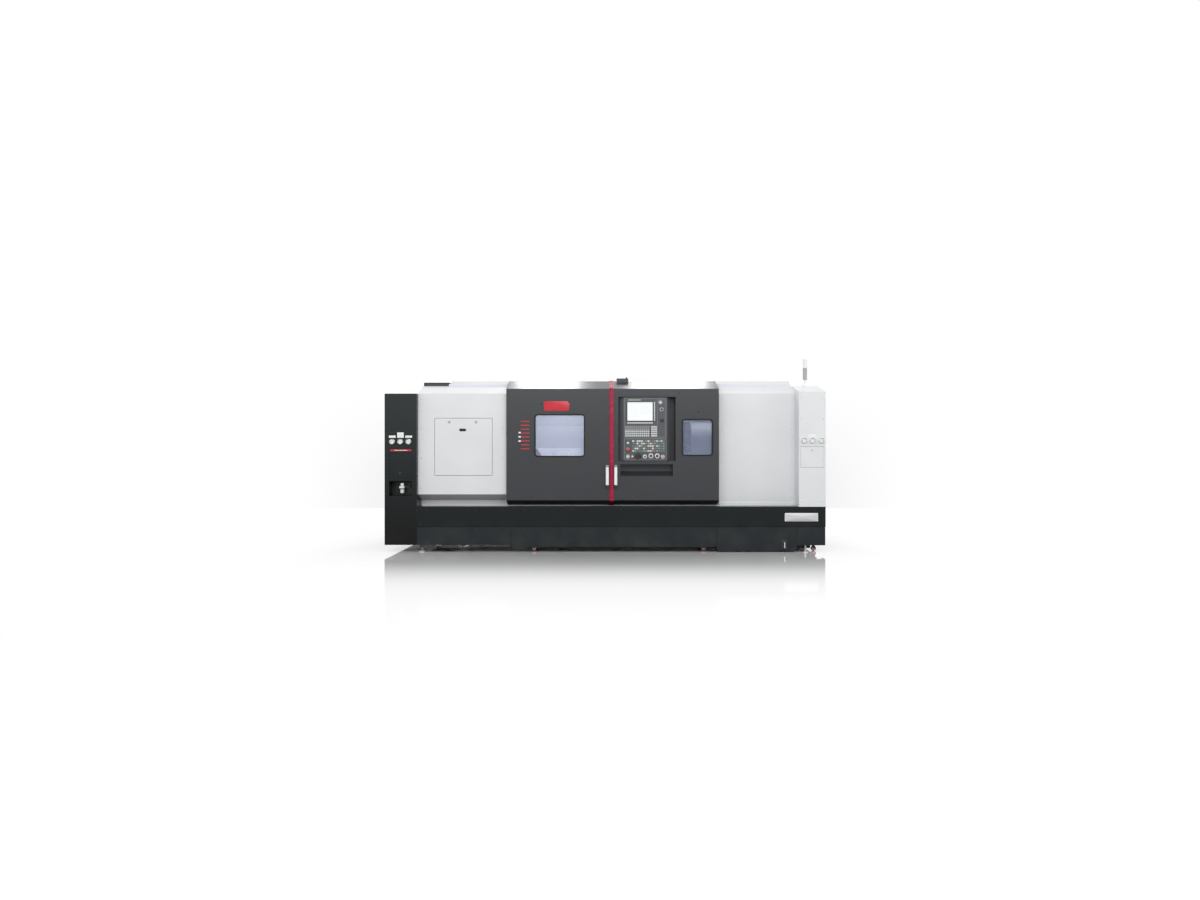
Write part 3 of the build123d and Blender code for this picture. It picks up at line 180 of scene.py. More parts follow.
def tube(path, radius, steps=10):
    """A round bar along a path. Each ring is the path's point plus radius times (cos a side + sin a up).

    Up is the world's Z made square to the path, or X where the path runs upright.
    """
    path = np.asarray(path, float)
    run = np.gradient(path, axis=0)
    run /= np.linalg.norm(run, axis=1, keepdims=True)
    near = np.where(np.abs(run[:, 2:]) > 0.9, [[1.0, 0, 0]], [[0, 0, 1.0]])
    side = np.cross(run, near)
    side /= np.linalg.norm(side, axis=1, keepdims=True)
    up = np.cross(side, run)
    angle = np.linspace(0, FULL_TURN, steps, endpoint=False)[None, :, None]
    return skin(path[:, None] + radius * (np.cos(angle) * side[:, None] + np.sin(angle) * up[:, None]))


def smooth_path(points, count):
    """A smooth line through points: each coordinate is a cubic through its four nearest points."""
    points = np.asarray(points, float)
    padded = np.concatenate([[2 * points[0] - points[1]], points, [2 * points[-1] - points[-2]]])
    at = np.linspace(0, len(points) - 1 - 1e-9, count)
    k = at.astype(int)
    t = (at - k)[:, None]
    a, b, c, d = padded[k], padded[k + 1], padded[k + 2], padded[k + 3]
    return 0.5 * (2 * b + (c - a) * t + (2 * a - 5 * b + 4 * c - d) * t**2 + (3 * b - a - 3 * c + d) * t**3)


def slab(width, height, thickness, radius, edge, steps=4):
    """A plate on its plane, with its upper edge rounded by a quarter circle of three points."""
    turn = np.linspace(0, math.pi / 2, 4)
    rim = np.stack([edge * (np.cos(turn) - 1), thickness - edge + edge * np.sin(turn)], -1)
    return stack(width, height, max(radius, edge * 1.01), np.concatenate([[[0, 0]], rim]), steps=steps)


def surround(width, height, radius, wide, proud, edge=0.0015):
    """A frame round an opening: the section is a low bar with both upper edges rounded."""
    section = [
        (0, 0),
        (wide, 0),
        (wide, proud - edge),
        (wide - edge * 0.3, proud - edge * 0.3),
        (wide - edge, proud),
        (edge, proud),
        (edge * 0.3, proud - edge * 0.3),
        (0, proud - edge),
    ]
    return stack(width, height, radius, section, closed=True, steps=6)


def button_head(radius, height, steps=12):
    """A domed screw head with its hexagon socket sunk as a round cup."""
    section = [
        (radius, 0),
        (radius, height * 0.3),
        (radius * 0.9, height * 0.7),
        (radius * 0.66, height),
        (radius * 0.5, height),
        (radius * 0.46, height * 0.45),
        (0, height * 0.4),
    ]
    return turned(section, steps)


def hexagon_bolt(radius, height):
    """A hexagon head with a chamfered crown and its washer."""
    washer = turned([(radius * 1.45, 0), (radius * 1.45, height * 0.18), (radius * 0.9, height * 0.2)], 16)
    head = turned([(radius, height * 0.15), (radius, height * 0.85), (radius * 0.84, height)], 6)
    return joined([washer, head])


def label(width, height, thickness=0.0012, radius=0.003):
    """A thin bare plate with finely rounded edges."""
    return slab(width, height, thickness, radius, 0.0004)


def mark(width, height=0.0016):
    """A bar as flat as print."""
    return slab(width, height, 0.0004, 0.0004, 0.0001, steps=1)


def annulus(inner, outer, height, edge=0.0005, steps=32):
    """A flat ring with both upper edges broken."""
    section = [
        (inner, 0),
        (outer, 0),
        (outer, height - edge),
        (outer - edge, height),
        (inner + edge, height),
        (inner, height - edge),
    ]
    return turned(section, steps, closed=True)


def spokes(count, inner, outer, width, thickness, start=0.0, turn=FULL_TURN):
    """Short radial bars round a centre, for dial marks. A part turn has one at both its ends."""
    bar = slab(outer - inner, width, thickness, width * 0.2, thickness * 0.3, steps=1)
    bar = bar.moved((inner + outer) / 2, 0, 0)
    angle = start + turn * np.arange(count) / (count if turn == FULL_TURN else count - 1)
    return joined([bar.turned_about(a) for a in angle])


def ring_of(count, radius, start=0.0):
    """Places on a circle, for repeated()."""
    angle = start + FULL_TURN * np.arange(count) / count
    return np.stack([radius * np.cos(angle), radius * np.sin(angle), np.zeros(count)], -1)


def grid(xs, zs, out=0.0):
    """Places at every x and z of two rows, for repeated()."""
    return [(x, z, out) for x in xs for z in zs]


def piece(name, body, slot, *parts, at=None, plane=FRONT):
    """Makes one object on a body of the frame, from pairs of a form and the name of its finish.

    Where a place is given, all the forms are drawn there on the plane. Else they are placed already.
    """
    forms, names = zip(*parts)
    used = list(dict.fromkeys(names))
    whole = joined(forms)
    if at is not None:
        whole = whole.placed(at, plane)
    indices = [used.index(paint) for paint in names]
    quad_slots = np.repeat(indices, [len(form.quads) for form in forms])
    tri_slots = np.repeat(indices, [len(form.tris) for form in forms])
    sizes = np.repeat([4, 3], [len(whole.quads), len(whole.tris)])
    starts = np.concatenate([[0], np.cumsum(sizes)[:-1]])
    vertices = np.concatenate([whole.quads.ravel(), whole.tris.ravel()])
    mesh = bpy.data.meshes.new(name)
    for paint in used:
        mesh.materials.append(finish(paint))
    mesh.vertices.add(len(whole.points))
    mesh.vertices.foreach_set("co", whole.points.astype(np.float32).ravel())
    mesh.loops.add(len(vertices))
    mesh.loops.foreach_set("vertex_index", vertices.astype(np.int32))
    mesh.polygons.add(len(sizes))
    mesh.polygons.foreach_set("loop_start", starts.astype(np.int32))
    mesh.polygons.foreach_set("loop_total", sizes.astype(np.int32))
    mesh.polygons.foreach_set("material_index", np.concatenate([quad_slots, tri_slots]).astype(np.int32))
    mesh.polygons.foreach_set("use_smooth", np.ones(len(sizes), bool))
    mesh.update(calc_edges=True)
    mesh.validate()
    mesh.set_sharp_from_angle(angle=math.radians(35))
    made = bpy.data.objects.new(name, mesh)
    bpy.context.scene.collection.objects.link(made)
    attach(made, body)


class Signal:
    """A socket of a finish. Sums and products of signals add the Math nodes that work them out."""

    def __init__(self, finish, socket):
        self.finish = finish
        self.socket = socket

    def math(self, operation, *others):
        return self.finish.node("Math", {"operation": operation}, [self, *others])

    def __add__(self, other):
        return self.math("ADD", other)

    def __sub__(self, other):
        return self.math("SUBTRACT", other)

    def __mul__(self, other):
        return self.math("MULTIPLY", other)

    def __truediv__(self, other):
        return self.math("DIVIDE", other)

    def __rsub__(self, other):
        return self.finish.node("Math", {"operation": "SUBTRACT"}, [other, self])

    __radd__ = __add__
    __rmul__ = __mul__

    def step(self, low, high):
        """0 below low and 1 above high, with a smooth rise between them."""
        places = {"Value": self, "From Min": low, "From Max": high}
        return self.finish.node("MapRange", {"interpolation_type": "SMOOTHSTEP"}, places)

    def within(self, low, high, soft=0.002):
        """1 between two places along an axis and 0 outside."""
        return self.step(low - soft, low + soft) * (1 - self.step(high - soft, high + soft))


class Finish:
    """A material that is being put together."""

    def __init__(self, name):
        self.material = bpy.data.materials.new(name)
        self.material.use_nodes = True
        self.tree = self.material.node_tree
        self.tree.nodes.clear()
        self.place = self.node("TexCoord", output="Object")

    def node(self, kind, settings=None, inputs=None, output=0):
        """Adds a node: its settings first, then a value or a link for each of its sockets."""
        made = self.tree.nodes.new("ShaderNode" + kind)
        for key, value in (settings or {}).items():
            if key == "stops":
                while len(made.color_ramp.elements) < len(value):
                    made.color_ramp.elements.new(0.5)
                for element, (position, colour) in zip(made.color_ramp.elements, value):
                    element.position = position
                    element.color = (*colour, 1)
            else:
                setattr(made, key, value)
        pairs = enumerate(inputs) if isinstance(inputs, list) else (inputs or {}).items()
        for key, value in pairs:
            socket = made.inputs[key]
            if isinstance(value, Signal):
                self.tree.links.new(value.socket, socket)
            else:
                socket.default_value = value
        return Signal(self, made.outputs[output])

    def length(self, *sides):
        """The length of a way with these three sides."""
        way = self.node("CombineXYZ", None, list(sides))
        return self.node("VectorMath", {"operation": "LENGTH"}, [way], "Value")

    def along(self, axis):
        """One coordinate of the place, in metres."""
        return self.node("SeparateXYZ", None, {"Vector": self.place}, output="XYZ".index(axis))

    def cloud(self, size, detail, stretch=(1, 1, 1)):
        """Noise whose lumps are about size metres wide, drawn out along the axes by stretch."""
        drawn = self.node("Mapping", None, {"Vector": self.place, "Scale": tuple(1 / k for k in stretch)})
        return self.node("TexNoise", None, {"Vector": drawn, "Scale": 1 / size, "Detail": detail})

    def cells(self, size):
        return self.node("TexVoronoi", None, {"Vector": self.place, "Scale": 1 / size}, "Distance")

    def mixed(self, share, first, second):
        first, second = ((*c, 1) if isinstance(c, tuple) else c for c in (first, second))
        return self.node("Mix", {"data_type": "RGBA"}, {0: share, 6: first, 7: second}, output=2)

    def rounded_edges(self, radius):
        """The normal of a surface whose sharp edges have this radius."""
        return self.node("Bevel", {"samples": 4}, {"Radius": radius})

    def edge_wear(self, radius):
        """Rises from 0 to 1 where the rounded normal leaves the flat one, so at edges and corners."""
        flat = self.node("NewGeometry", output="Normal")
        round_one = self.rounded_edges(radius)
        facing = self.node("VectorMath", {"operation": "DOT_PRODUCT"}, [round_one, flat], "Value")
        return (1 - facing).step(0.02, 0.25)

    def bumped(self, height, depth, edge=None):
        """The normal of a rough surface, with its edges rounded where a radius is given."""
        sockets = {"Height": height, "Distance": depth}
        if edge:
            sockets["Normal"] = self.rounded_edges(edge)
        return self.node("Bump", None, sockets)

    def done(self, **sockets):
        """Closes the finish with a Principled shader. In the sockets' names _ stands for a space."""
        named = {key.replace("_", " "): value for key, value in sockets.items()}
        named = {key: (*value, 1) if isinstance(value, tuple) else value for key, value in named.items()}
        return self.closed(self.node("BsdfPrincipled", None, named))

    def closed(self, shader):
        output = self.tree.nodes.new("ShaderNodeOutputMaterial")
        self.tree.links.new(shader.socket, output.inputs["Surface"])
        return self.material


def scaled(colour, share):
    return tuple(min(1.0, c * share) for c in colour)


FINISHES = {}


def finish(name):
    """The material of this name, made the first time it is asked for."""
    if name not in FINISHES:
        FINISHES[name] = MAKERS[name](Finish(name))
    return FINISHES[name]


def enamel(
    colour,
    roughness,
    worn,
    grain=0.0012,
    depth=0.00006,
    coat=0.0,
    dust=0.05,
    gloss=0.5,
    upper=None,
    reach=(0.1, 1.8),
    rail_end=None,
):
    """Sprayed enamel: slow tone changes, fine texture, rubbed edges, and a little dust near the floor.

    With an upper colour it passes from the first to that one between the two heights of reach. With a
    rail end the door rail on the roof is dark to the left of that place, as the vent box behind it.
    """

    def make(f):
        slow = f.cloud(0.5, 3)
        fine = f.cloud(grain, 2)
        base = f.mixed(slow, scaled(colour, 0.93), scaled(colour, 1.07))
        # With an upper colour the paint changes with height; on the tower this is painted shade and
        # reflection, lighter high up and darker lower down
        if upper:
            higher = f.mixed(slow, scaled(upper, 0.93), scaled(upper, 1.07))
            base = f.mixed(f.along("Z").step(*reach), base, higher)
        if rail_end:
            above_roof, soft = f.along("Z").step(1.9703, 1.9707), 0.0005
            rail = above_roof * (1 - f.along("X").step(rail_end - soft, rail_end + soft))
            base = f.mixed(rail, base, (0.03, 0.032, 0.034))
        base = f.mixed(f.edge_wear(0.004) * f.cloud(0.03, 3).step(0.45, 0.7) * 0.35, base, worn)
        low = (1 - f.along("Z").step(0.0, 0.5)) * f.cloud(0.2, 4).step(0.35, 0.75)
        base = f.mixed(low * dust, base, (0.42, 0.4, 0.37))
        rough = f.cloud(0.12, 3) * 0.12 + (roughness - 0.06) + low * 0.1
        normal = f.bumped(fine, depth, edge=0.003)
        return f.done(
            Base_Color=base,
            Roughness=rough,
            Normal=normal,
            Specular_IOR_Level=gloss,
            Coat_Weight=coat,
            Coat_Roughness=0.12,
        )

    return make


def ground_metal(colour, roughness=0.28, along=(40, 1, 1), size=0.0008, stain=0.1):
    """Ground or machined metal: fine lines drawn out along one axis, with faint oil stains."""

    def make(f):
        lines = f.cloud(size, 3, stretch=along)
        oil = f.cloud(0.08, 4).step(0.4, 0.75)
        base = f.mixed(lines, scaled(colour, 0.82), scaled(colour, 1.12))
        base = f.mixed(oil * stain, base, scaled(colour, 0.45))
        rough = lines * 0.14 + (roughness - 0.07) + oil * 0.08
        normal = f.bumped(lines, 0.00002, edge=0.0015)
        return f.done(Base_Color=base, Metallic=1.0, Roughness=rough, Normal=normal)

    return make


def moulded(colour, roughness, grain=0.0006, shine=0.5):
    """Moulded plastic or rubber with a fine grain and slightly polished edges."""

    def make(f):
        fine = f.cloud(grain, 2)
        slow = f.cloud(0.05, 2)
        base = f.mixed(slow, scaled(colour, 0.94), scaled(colour, 1.06))
        base = f.mixed(f.edge_wear(0.0015) * 0.25, base, scaled(colour, 1.6))
        rough = slow * 0.1 + (roughness - 0.05)
        normal = f.bumped(fine, 0.00004, edge=0.001)
        return f.done(Base_Color=base, Roughness=rough, Normal=normal, Specular_IOR_Level=shine)

    return make


def casting(f):
    """Painted cast iron: coarse orange peel with small pits."""
    coarse = f.cloud(0.006, 4)
    pits = f.cells(0.02).step(0.0, 0.12)
    colour = (0.40, 0.43, 0.45)
    base = f.mixed(f.cloud(0.25, 3), scaled(colour, 0.9), scaled(colour, 1.08))
    base = f.mixed((1 - pits) * 0.4, base, (0.12, 0.12, 0.12))
    rough = coarse * 0.15 + 0.42
    normal = f.bumped(coarse * 0.7 + pits * 0.3, 0.0003, edge=0.004)
    return f.done(Base_Color=base, Roughness=rough, Normal=normal)


def safety_glass(f):
    """Laminated window: a lilac film, clear but for faint wiping marks and dried coolant near its foot."""
    height = f.along("Z")
    marks = f.cloud(0.02, 4, stretch=(6, 1, 1)).step(0.5, 0.8)
    foot = (1 - height.step(1.12, 1.22)) * f.cloud(0.03, 4).step(0.4, 0.7)
    base = f.mixed(foot * 0.3, (0.46, 0.52, 0.76), (0.75, 0.78, 0.84))
    alpha = marks * 0.04 + foot * 0.1 + 0.2
    rough = marks * 0.08 + 0.03
    normal = f.bumped(f.cloud(0.15, 1), 0.0002)
    return f.done(Base_Color=base, Alpha=alpha, Roughness=rough, Normal=normal, IOR=1.5)


def display(f):
    """The lit display: a pale page with a header, a few plain bars and fields, and fine pixel rows."""
    x, z = f.along("X"), f.along("Z")
    low, high = corners("panel_screen")
    wide, tall = (high - low)[[0, 2]]
    across, up = (x - low[0]) / wide, (z - low[2]) / tall
    header = up.step(0.905, 0.91)
    keys = 1 - up.step(0.075, 0.08)
    fields = across.within(0.06, 0.42, 0.003) * up.within(0.2, 0.84, 0.003)
    rows = (up * 11.0).math("FRACT").within(0.3, 0.55, 0.02)
    table = across.within(0.5, 0.94, 0.003) * up.within(0.34, 0.84, 0.003)
    page = f.mixed(fields * rows * 0.35, (0.93, 0.95, 0.95), (0.62, 0.70, 0.78))
    page = f.mixed(table * 0.12, page, (0.55, 0.66, 0.62))
    page = f.mixed(header * 0.35, page, (0.50, 0.60, 0.72))
    page = f.mixed(keys * 0.25, page, (0.60, 0.64, 0.68))
    edge = across.within(0.006, 0.994, 0.002) * up.within(0.008, 0.992, 0.002)
    page = f.mixed(edge, (0.03, 0.03, 0.03), page)
    grid = f.cloud(0.0004, 1) * 0.02 + 0.07
    return f.done(Base_Color=(0.02, 0.02, 0.02), Emission_Color=page, Emission_Strength=1.0, Roughness=grid)


def key_caps(f):
    """Key caps: grey, with white ones beside the screen and in the middle of the upper field."""
    x, z = f.along("X"), f.along("Z")
    low, high = corners("panel_screen")
    foot, right = low[2], high[0]
    beside = x.step(right + 0.004, right + 0.006) * z.step(foot, foot + 0.01)
    under = z.within(foot - 0.035, foot - 0.008)
    pale = (beside * (1 - x.step(right + 0.03, right + 0.032))).math("MAXIMUM", under)
    lower = 1 - z.step(PANEL_LOW + 0.262, PANEL_LOW + 0.265)
    upper = (1 - lower) * (1 - z.step(foot - 0.04, foot - 0.038))
    letters = upper * x.within(PLATE_LEFT + 0.012, PLATE_LEFT + 0.31)
    letters = letters * z.within(PANEL_LOW + 0.275, PANEL_LOW + 0.36)
    numbers = upper * x.step(PLATE_LEFT + 0.312, PLATE_LEFT + 0.316)
    base = f.mixed(pale, (0.30, 0.31, 0.33), (0.78, 0.79, 0.78))
    base = f.mixed(letters, base, (0.62, 0.64, 0.63))
    base = f.mixed(numbers, base, (0.68, 0.69, 0.69))
    # One colour for each key of the lower field, by its column and row
    column = ((x - (PLATE_LEFT + 0.095)) / 0.0255).math("FLOOR")
    row = ((z - (PANEL_LOW + 0.0975)) / 0.029).math("FLOOR")
    spot = f.node("CombineXYZ", None, [column, row, 0.0])
    choice = f.node("TexWhiteNoise", {"noise_dimensions": "3D"}, [spot], output="Value")
    stops = [
        (0.0, (0.16, 0.17, 0.17)),
        (0.45, (0.20, 0.30, 0.24)),
        (0.6, (0.62, 0.65, 0.63)),
        (0.78, (0.42, 0.20, 0.20)),
        (0.86, (0.70, 0.72, 0.70)),
    ]
    lower_colour = f.node("ValToRGB", {"stops": stops}, [choice])
    lower_colour.socket.node.color_ramp.interpolation = "CONSTANT"
    base = f.mixed(lower, base, lower_colour)
    worn = f.cloud(0.01, 2)
    base = f.mixed(f.edge_wear(0.001) * 0.3, base, (0.85, 0.85, 0.85))
    return f.done(Base_Color=base, Roughness=worn * 0.1 + 0.4, Normal=f.bumped(worn, 0.00003, edge=0.001))


def lamp_stack(f):
    """Signal lamp: plated stem, grey lower cap and pale upper lens with fine upright ribs."""
    z = f.along("Z")
    foot = corners("signal_lamp")[1][2] - 0.252
    centre = middle("signal_lamp")
    grey = z.within(foot, foot + 0.146)
    pale = z.step(foot + 0.145, foot + 0.147)
    x, y = f.along("X") - centre[0], f.along("Y") - centre[1]
    ribs = (y.math("ARCTAN2", x) * 48.0).math("SINE")
    base = f.mixed(grey, (0.62, 0.63, 0.64), (0.38, 0.39, 0.40))
    base = f.mixed(pale, base, (0.80, 0.81, 0.82))
    metal = 1 - z.step(foot - 0.002, foot)
    normal = f.bumped(ribs * (grey + pale), 0.0003, edge=0.0015)
    return f.done(Base_Color=base, Metallic=metal, Roughness=metal * 0.1 + 0.28, Normal=normal)


def door_grip(f):
    """White grip between grey end caps, with a dark lower bracket."""
    z = f.along("Z")
    low, high = corners("left_handle")
    bottom, top = low[2], high[2]
    grip = z.within(bottom + 0.0235, top - 0.0235, 0.0005)
    cap = z.step(top - 0.0245, top - 0.0235)
    base = f.mixed(cap, (0.035, 0.036, 0.038), (0.30, 0.31, 0.32))
    base = f.mixed(grip, base, (0.86, 0.87, 0.87))
    worn = f.cloud(0.02, 3)
    normal = f.bumped(f.cloud(0.0006, 1), 0.00003, edge=0.002)
    return f.done(Base_Color=base, Roughness=worn * 0.12 + 0.24, Normal=normal, Coat_Weight=0.3)


def caster_wheel(f):
    """Red running ring round a zinc hub."""
    z, x = f.along("Z"), f.along("X")
    wheel_radius = 0.03
    distances = [f.length(x - hub_x, 0.0, z - wheel_radius) for hub_x in WHEEL_CENTRES]
    distance = distances[0].math("MINIMUM", distances[1]).math("MINIMUM", distances[2])
    ring = distance.step(0.0185, 0.0195)
    base = f.mixed(ring, (0.62, 0.63, 0.64), (0.50, 0.06, 0.07))
    scuff = f.cloud(0.006, 4).step(0.45, 0.7)
    base = f.mixed(scuff * ring * 0.35, base, (0.25, 0.2, 0.2))
    rough = scuff * 0.2 + 0.35
    return f.done(Base_Color=base, Metallic=1 - ring, Roughness=rough, Normal=f.rounded_edges(0.001))


def indexed_disc(f):
    """Turret: a dark oxide disc with ground faces, dark holders and bright tools in front."""
    x, y, z = f.along("X"), f.along("Y"), f.along("Z")
    left = corners("turret")[0][0]
    centre = middle("turret")
    radius = f.length(0.0, y - centre[1], z - centre[2])
    tools = (1 - x.step(left + 0.102, left + 0.105)) * radius.step(0.2, 0.21)
    hub = (1 - radius.step(0.062, 0.064)) * (1 - tools)
    bright = tools.math("MAXIMUM", hub)
    lines = f.cloud(0.0008, 3, stretch=(1, 8, 8))
    base = f.mixed(bright, (0.10, 0.11, 0.125), (0.62, 0.63, 0.64))
    base = f.mixed(f.edge_wear(0.002) * 0.6, base, (0.55, 0.56, 0.58))
    rough = lines * 0.12 + 0.28
    normal = f.bumped(lines, 0.00002, edge=0.0015)
    return f.done(Base_Color=base, Metallic=0.9, Roughness=rough, Normal=normal)


def gauge_body(f):
    """Gauge cases with white dials, and the regulator's dark head with its clear bowl."""
    y, z = f.along("Y"), f.along("Z")
    dial = z.step(1.2, 1.21) * y.step(FRONT_Y - 0.0195, FRONT_Y - 0.0185)
    base = f.mixed(dial, (0.66, 0.67, 0.68), (0.90, 0.90, 0.89))
    body = 1 - z.step(1.19, 1.2)
    bowl = 1 - z.step(0.742, 0.744)
    base = f.mixed(body, base, (0.55, 0.57, 0.58))
    base = f.mixed(bowl, base, (0.72, 0.76, 0.78))
    metal = (1 - dial) * (1 - body)
    rough = f.cloud(0.02, 2) * 0.1 + 0.25
    return f.done(Base_Color=base, Metallic=metal, Roughness=rough, Normal=f.rounded_edges(0.001))


def work_lamp(f):
    rough = f.cloud(0.05, 1) * 0.04 + 0.3
    cool = (0.92, 0.95, 1.0)
    return f.done(Base_Color=(0.9, 0.9, 0.9), Emission_Color=cool, Emission_Strength=4.0, Roughness=rough)


def nameplate(f):
    """Bare brushed aluminium plate."""
    lines = f.cloud(0.0006, 3, stretch=(60, 1, 1))
    base = f.mixed(lines, (0.62, 0.63, 0.64), (0.82, 0.83, 0.84))
    rough = lines * 0.15 + 0.3
    return f.done(Base_Color=base, Metallic=0.6, Roughness=rough, Normal=f.bumped(lines, 0.00001))


FRONT_Y = float(corners("left_tower")[0][1])
PANEL_FACE = FRONT_Y + 0.008
PANEL_LOW = float(corners("panel_housing")[0][2]) + 0.011
PLATE_LEFT = float(corners("panel_housing")[0][0]) + 0.061
WHEEL_CENTRES = [float(middle(f"tank_wheels_{n}")[0]) for n in (1, 2, 3)]
# Where the spindle's axis meets the chuck's front face, and the turret's axis its disc
CHUCK_FACE = np.array([-0.855, -0.48, 1.06])
TURRET_FACE = np.array([0.960, -0.14766, 1.39234])
KNOB_RADII = {"mode_knob": 0.011, "feed_knob": 0.016, "speed_knob": 0.016}
HANDWHEEL = np.array([PLATE_LEFT + 0.168, PANEL_FACE, PANEL_LOW + 0.051])

MAKERS = {
    "charcoal_enamel": enamel((0.034, 0.037, 0.042), 0.30, worn=(0.12, 0.12, 0.125), dust=0.03),
    "base_enamel": enamel(
        (0.017, 0.022, 0.0245),
        0.30,
        worn=(0.12, 0.12, 0.12),
        dust=0.04,
        gloss=0.25,
        upper=(0.007, 0.0115, 0.0125),
        reach=(0.290, 0.300),
    ),
    # Painted shade and reflection: the tower's paint is lighter high up and darker towards the floor, as the
    # light falls on it
    "tower_enamel": enamel(
        (0.004, 0.0042, 0.0048),
        0.28,
        worn=(0.12, 0.12, 0.12),
        dust=0.01,
        gloss=0.28,
        upper=(0.017, 0.023, 0.025),
    ),
    "light_enamel": enamel(
        (0.72, 0.735, 0.75), 0.33, grain=0.0025, depth=0.00003, worn=(0.45, 0.45, 0.45), dust=0.1
    ),
    "grey_enamel": enamel((0.55, 0.57, 0.61), 0.38, grain=0.002, worn=(0.3, 0.3, 0.3)),
    "pale_enamel": enamel((0.70, 0.72, 0.78), 0.38, grain=0.002, worn=(0.4, 0.4, 0.4), rail_end=-1.894),
    "crimson_enamel": enamel(
        (0.33, 0.010, 0.045), 0.28, grain=0.003, depth=0.00002, coat=0.12, worn=(0.5, 0.1, 0.14), gloss=0.3
    ),
    "badge_enamel": enamel((0.55, 0.012, 0.03), 0.3, grain=0.003, depth=0.00002, worn=(0.6, 0.1, 0.12)),
    "yellow_enamel": enamel((0.75, 0.52, 0.03), 0.4, grain=0.003, worn=(0.5, 0.4, 0.2)),
    "ground_steel": ground_metal((0.56, 0.57, 0.58)),
    "cover_steel": ground_metal((0.70, 0.72, 0.76), 0.34, along=(60, 1, 1)),
    "tool_steel": ground_metal((0.42, 0.43, 0.44), 0.3, along=(1, 20, 20)),
    "bright_steel": ground_metal((0.80, 0.81, 0.82), 0.16, along=(1, 1, 10), stain=0.04),
    "zinc": ground_metal((0.62, 0.63, 0.62), 0.4, along=(1, 1, 1), size=0.004),
    "black_oxide": ground_metal((0.08, 0.08, 0.085), 0.38, along=(1, 1, 1), size=0.002),
    "rubber": moulded((0.012, 0.012, 0.013), 0.62, shine=0.3),
    "black_plastic": moulded((0.020, 0.020, 0.022), 0.42),
    "panel_plastic": moulded((0.075, 0.080, 0.090), 0.45, grain=0.0008),
    "white_plastic": moulded((0.85, 0.85, 0.84), 0.3),
    "red_plastic": moulded((0.55, 0.03, 0.03), 0.28),
    "green_plastic": moulded((0.03, 0.30, 0.09), 0.3),
    "pink_plastic": moulded((0.78, 0.42, 0.50), 0.3),
    "print_white": moulded((0.82, 0.82, 0.80), 0.45),
    "print_black": moulded((0.02, 0.02, 0.02), 0.45),
    "print_red": moulded((0.55, 0.02, 0.04), 0.4),
    "print_green": moulded((0.42, 0.56, 0.30), 0.4),
    "print_grey": moulded((0.35, 0.37, 0.40), 0.4),
}
for maker in (
    casting,
    safety_glass,
    display,
    key_caps,
    lamp_stack,
    door_grip,
    caster_wheel,
    indexed_disc,
    gauge_body,
    work_lamp,
    nameplate,
):
    MAKERS[maker.__name__] = maker

FINISHED_NODES = {
    "casting": "bed headstock",
    "base_enamel": "base_skirt coolant_tank",
    "tower_enamel": "left_tower tower_door",
    "light_enamel": "left_cover right_cover service_panel right_column column_door rear_cabinet cabinet_door",
    "grey_enamel": "cross_slide tailstock",
    "pale_enamel": "chamber_walls",
    "charcoal_enamel": "left_door right_door",
    "crimson_enamel": "left_trim right_trim",
    "safety_glass": "left_window right_window",
    "door_grip": "left_handle right_handle",
    "zinc": "leveling_feet",
    "gauge_body": "air_fittings",
    "lamp_stack": "signal_lamp",
    "caster_wheel": "tank_wheels_1 tank_wheels_2 tank_wheels_3",
    "indexed_disc": "turret",
    "cover_steel": "carriage way_cover_left way_cover_right",
    "ground_steel": "chuck_jaw_1 chuck_jaw_2 chuck_jaw_3",
    "tool_steel": "spindle panel_latch_1 panel_latch_2",
    "bright_steel": "quill column_lock key_switch",
    "black_oxide": "tower_lock",
    "panel_plastic": "panel_housing",
    "display": "panel_screen",
    "key_caps": "panel_keys",
    "white_plastic": "regulator_knob start_button hold_button power_on_button",
    "pink_plastic": "alarm_button",
    "red_plastic": "main_switch estop_button",
    "black_plastic": "power_off_button mode_knob feed_knob speed_knob handwheel card_flap",
}
NODE_FINISH = {node: name for name, nodes in FINISHED_NODES.items() for node in nodes.split()}


def held(prop):
    return getattr(bpy.context.scene, prop)


def fitting(prop):
    return getattr(held("lathe_fittings"), prop)


class StudioSizes(bpy.types.PropertyGroup):
    """The studio: camera and even light."""

    camera_distance: bpy.props.FloatProperty(
        name="Camera distance", description="From the front faces to the lens", default=9.0, unit="LENGTH"
    )
    camera_height: bpy.props.FloatProperty(
        name="Camera height", description="Above the floor", default=1.196, unit="LENGTH"
    )
    camera_side: bpy.props.FloatProperty(
        name="Camera side", description="To the right of the machine's middle", default=-0.0597, unit="LENGTH"
    )
    lens: bpy.props.FloatProperty(name="Lens", description="Focal length in millimetres", default=23.08)
    sky: bpy.props.FloatProperty(name="Sky", description="Strength of the even light", default=0.7)


class FittingSizes(bpy.types.PropertyGroup):
    """Sizes shared by the small fittings."""

    screw_radius: bpy.props.FloatProperty(
        name="Screw radius", description="Radius of a cover screw's head", default=0.0065, unit="LENGTH"
    )
    gasket_width: bpy.props.FloatProperty(
        name="Gasket width", description="Width of the rubber round a window", default=0.011, unit="LENGTH"
    )
    gasket_height: bpy.props.FloatProperty(
        name="Gasket height",
        description="How far the rubber stands out of the door",
        default=0.004,
        unit="LENGTH",
    )
    dial_ticks: bpy.props.IntProperty(
        name="Dial ticks", description="Marks round a pressure dial", default=11
    )


def lamp(name, place, target, size, power, colour=(1, 1, 1)):
    """A rectangular lamp at a place, facing a target."""
    light = bpy.data.lights.new(name, "AREA")
    light.shape = "RECTANGLE"
    light.size, light.size_y = size
    light.energy = power
    light.color = colour
    made = bpy.data.objects.new(name, light)
    bpy.context.scene.collection.objects.link(made)
    made.location = place
    made.rotation_euler = (Vector(target) - Vector(place)).to_track_quat("-Z", "Y").to_euler()


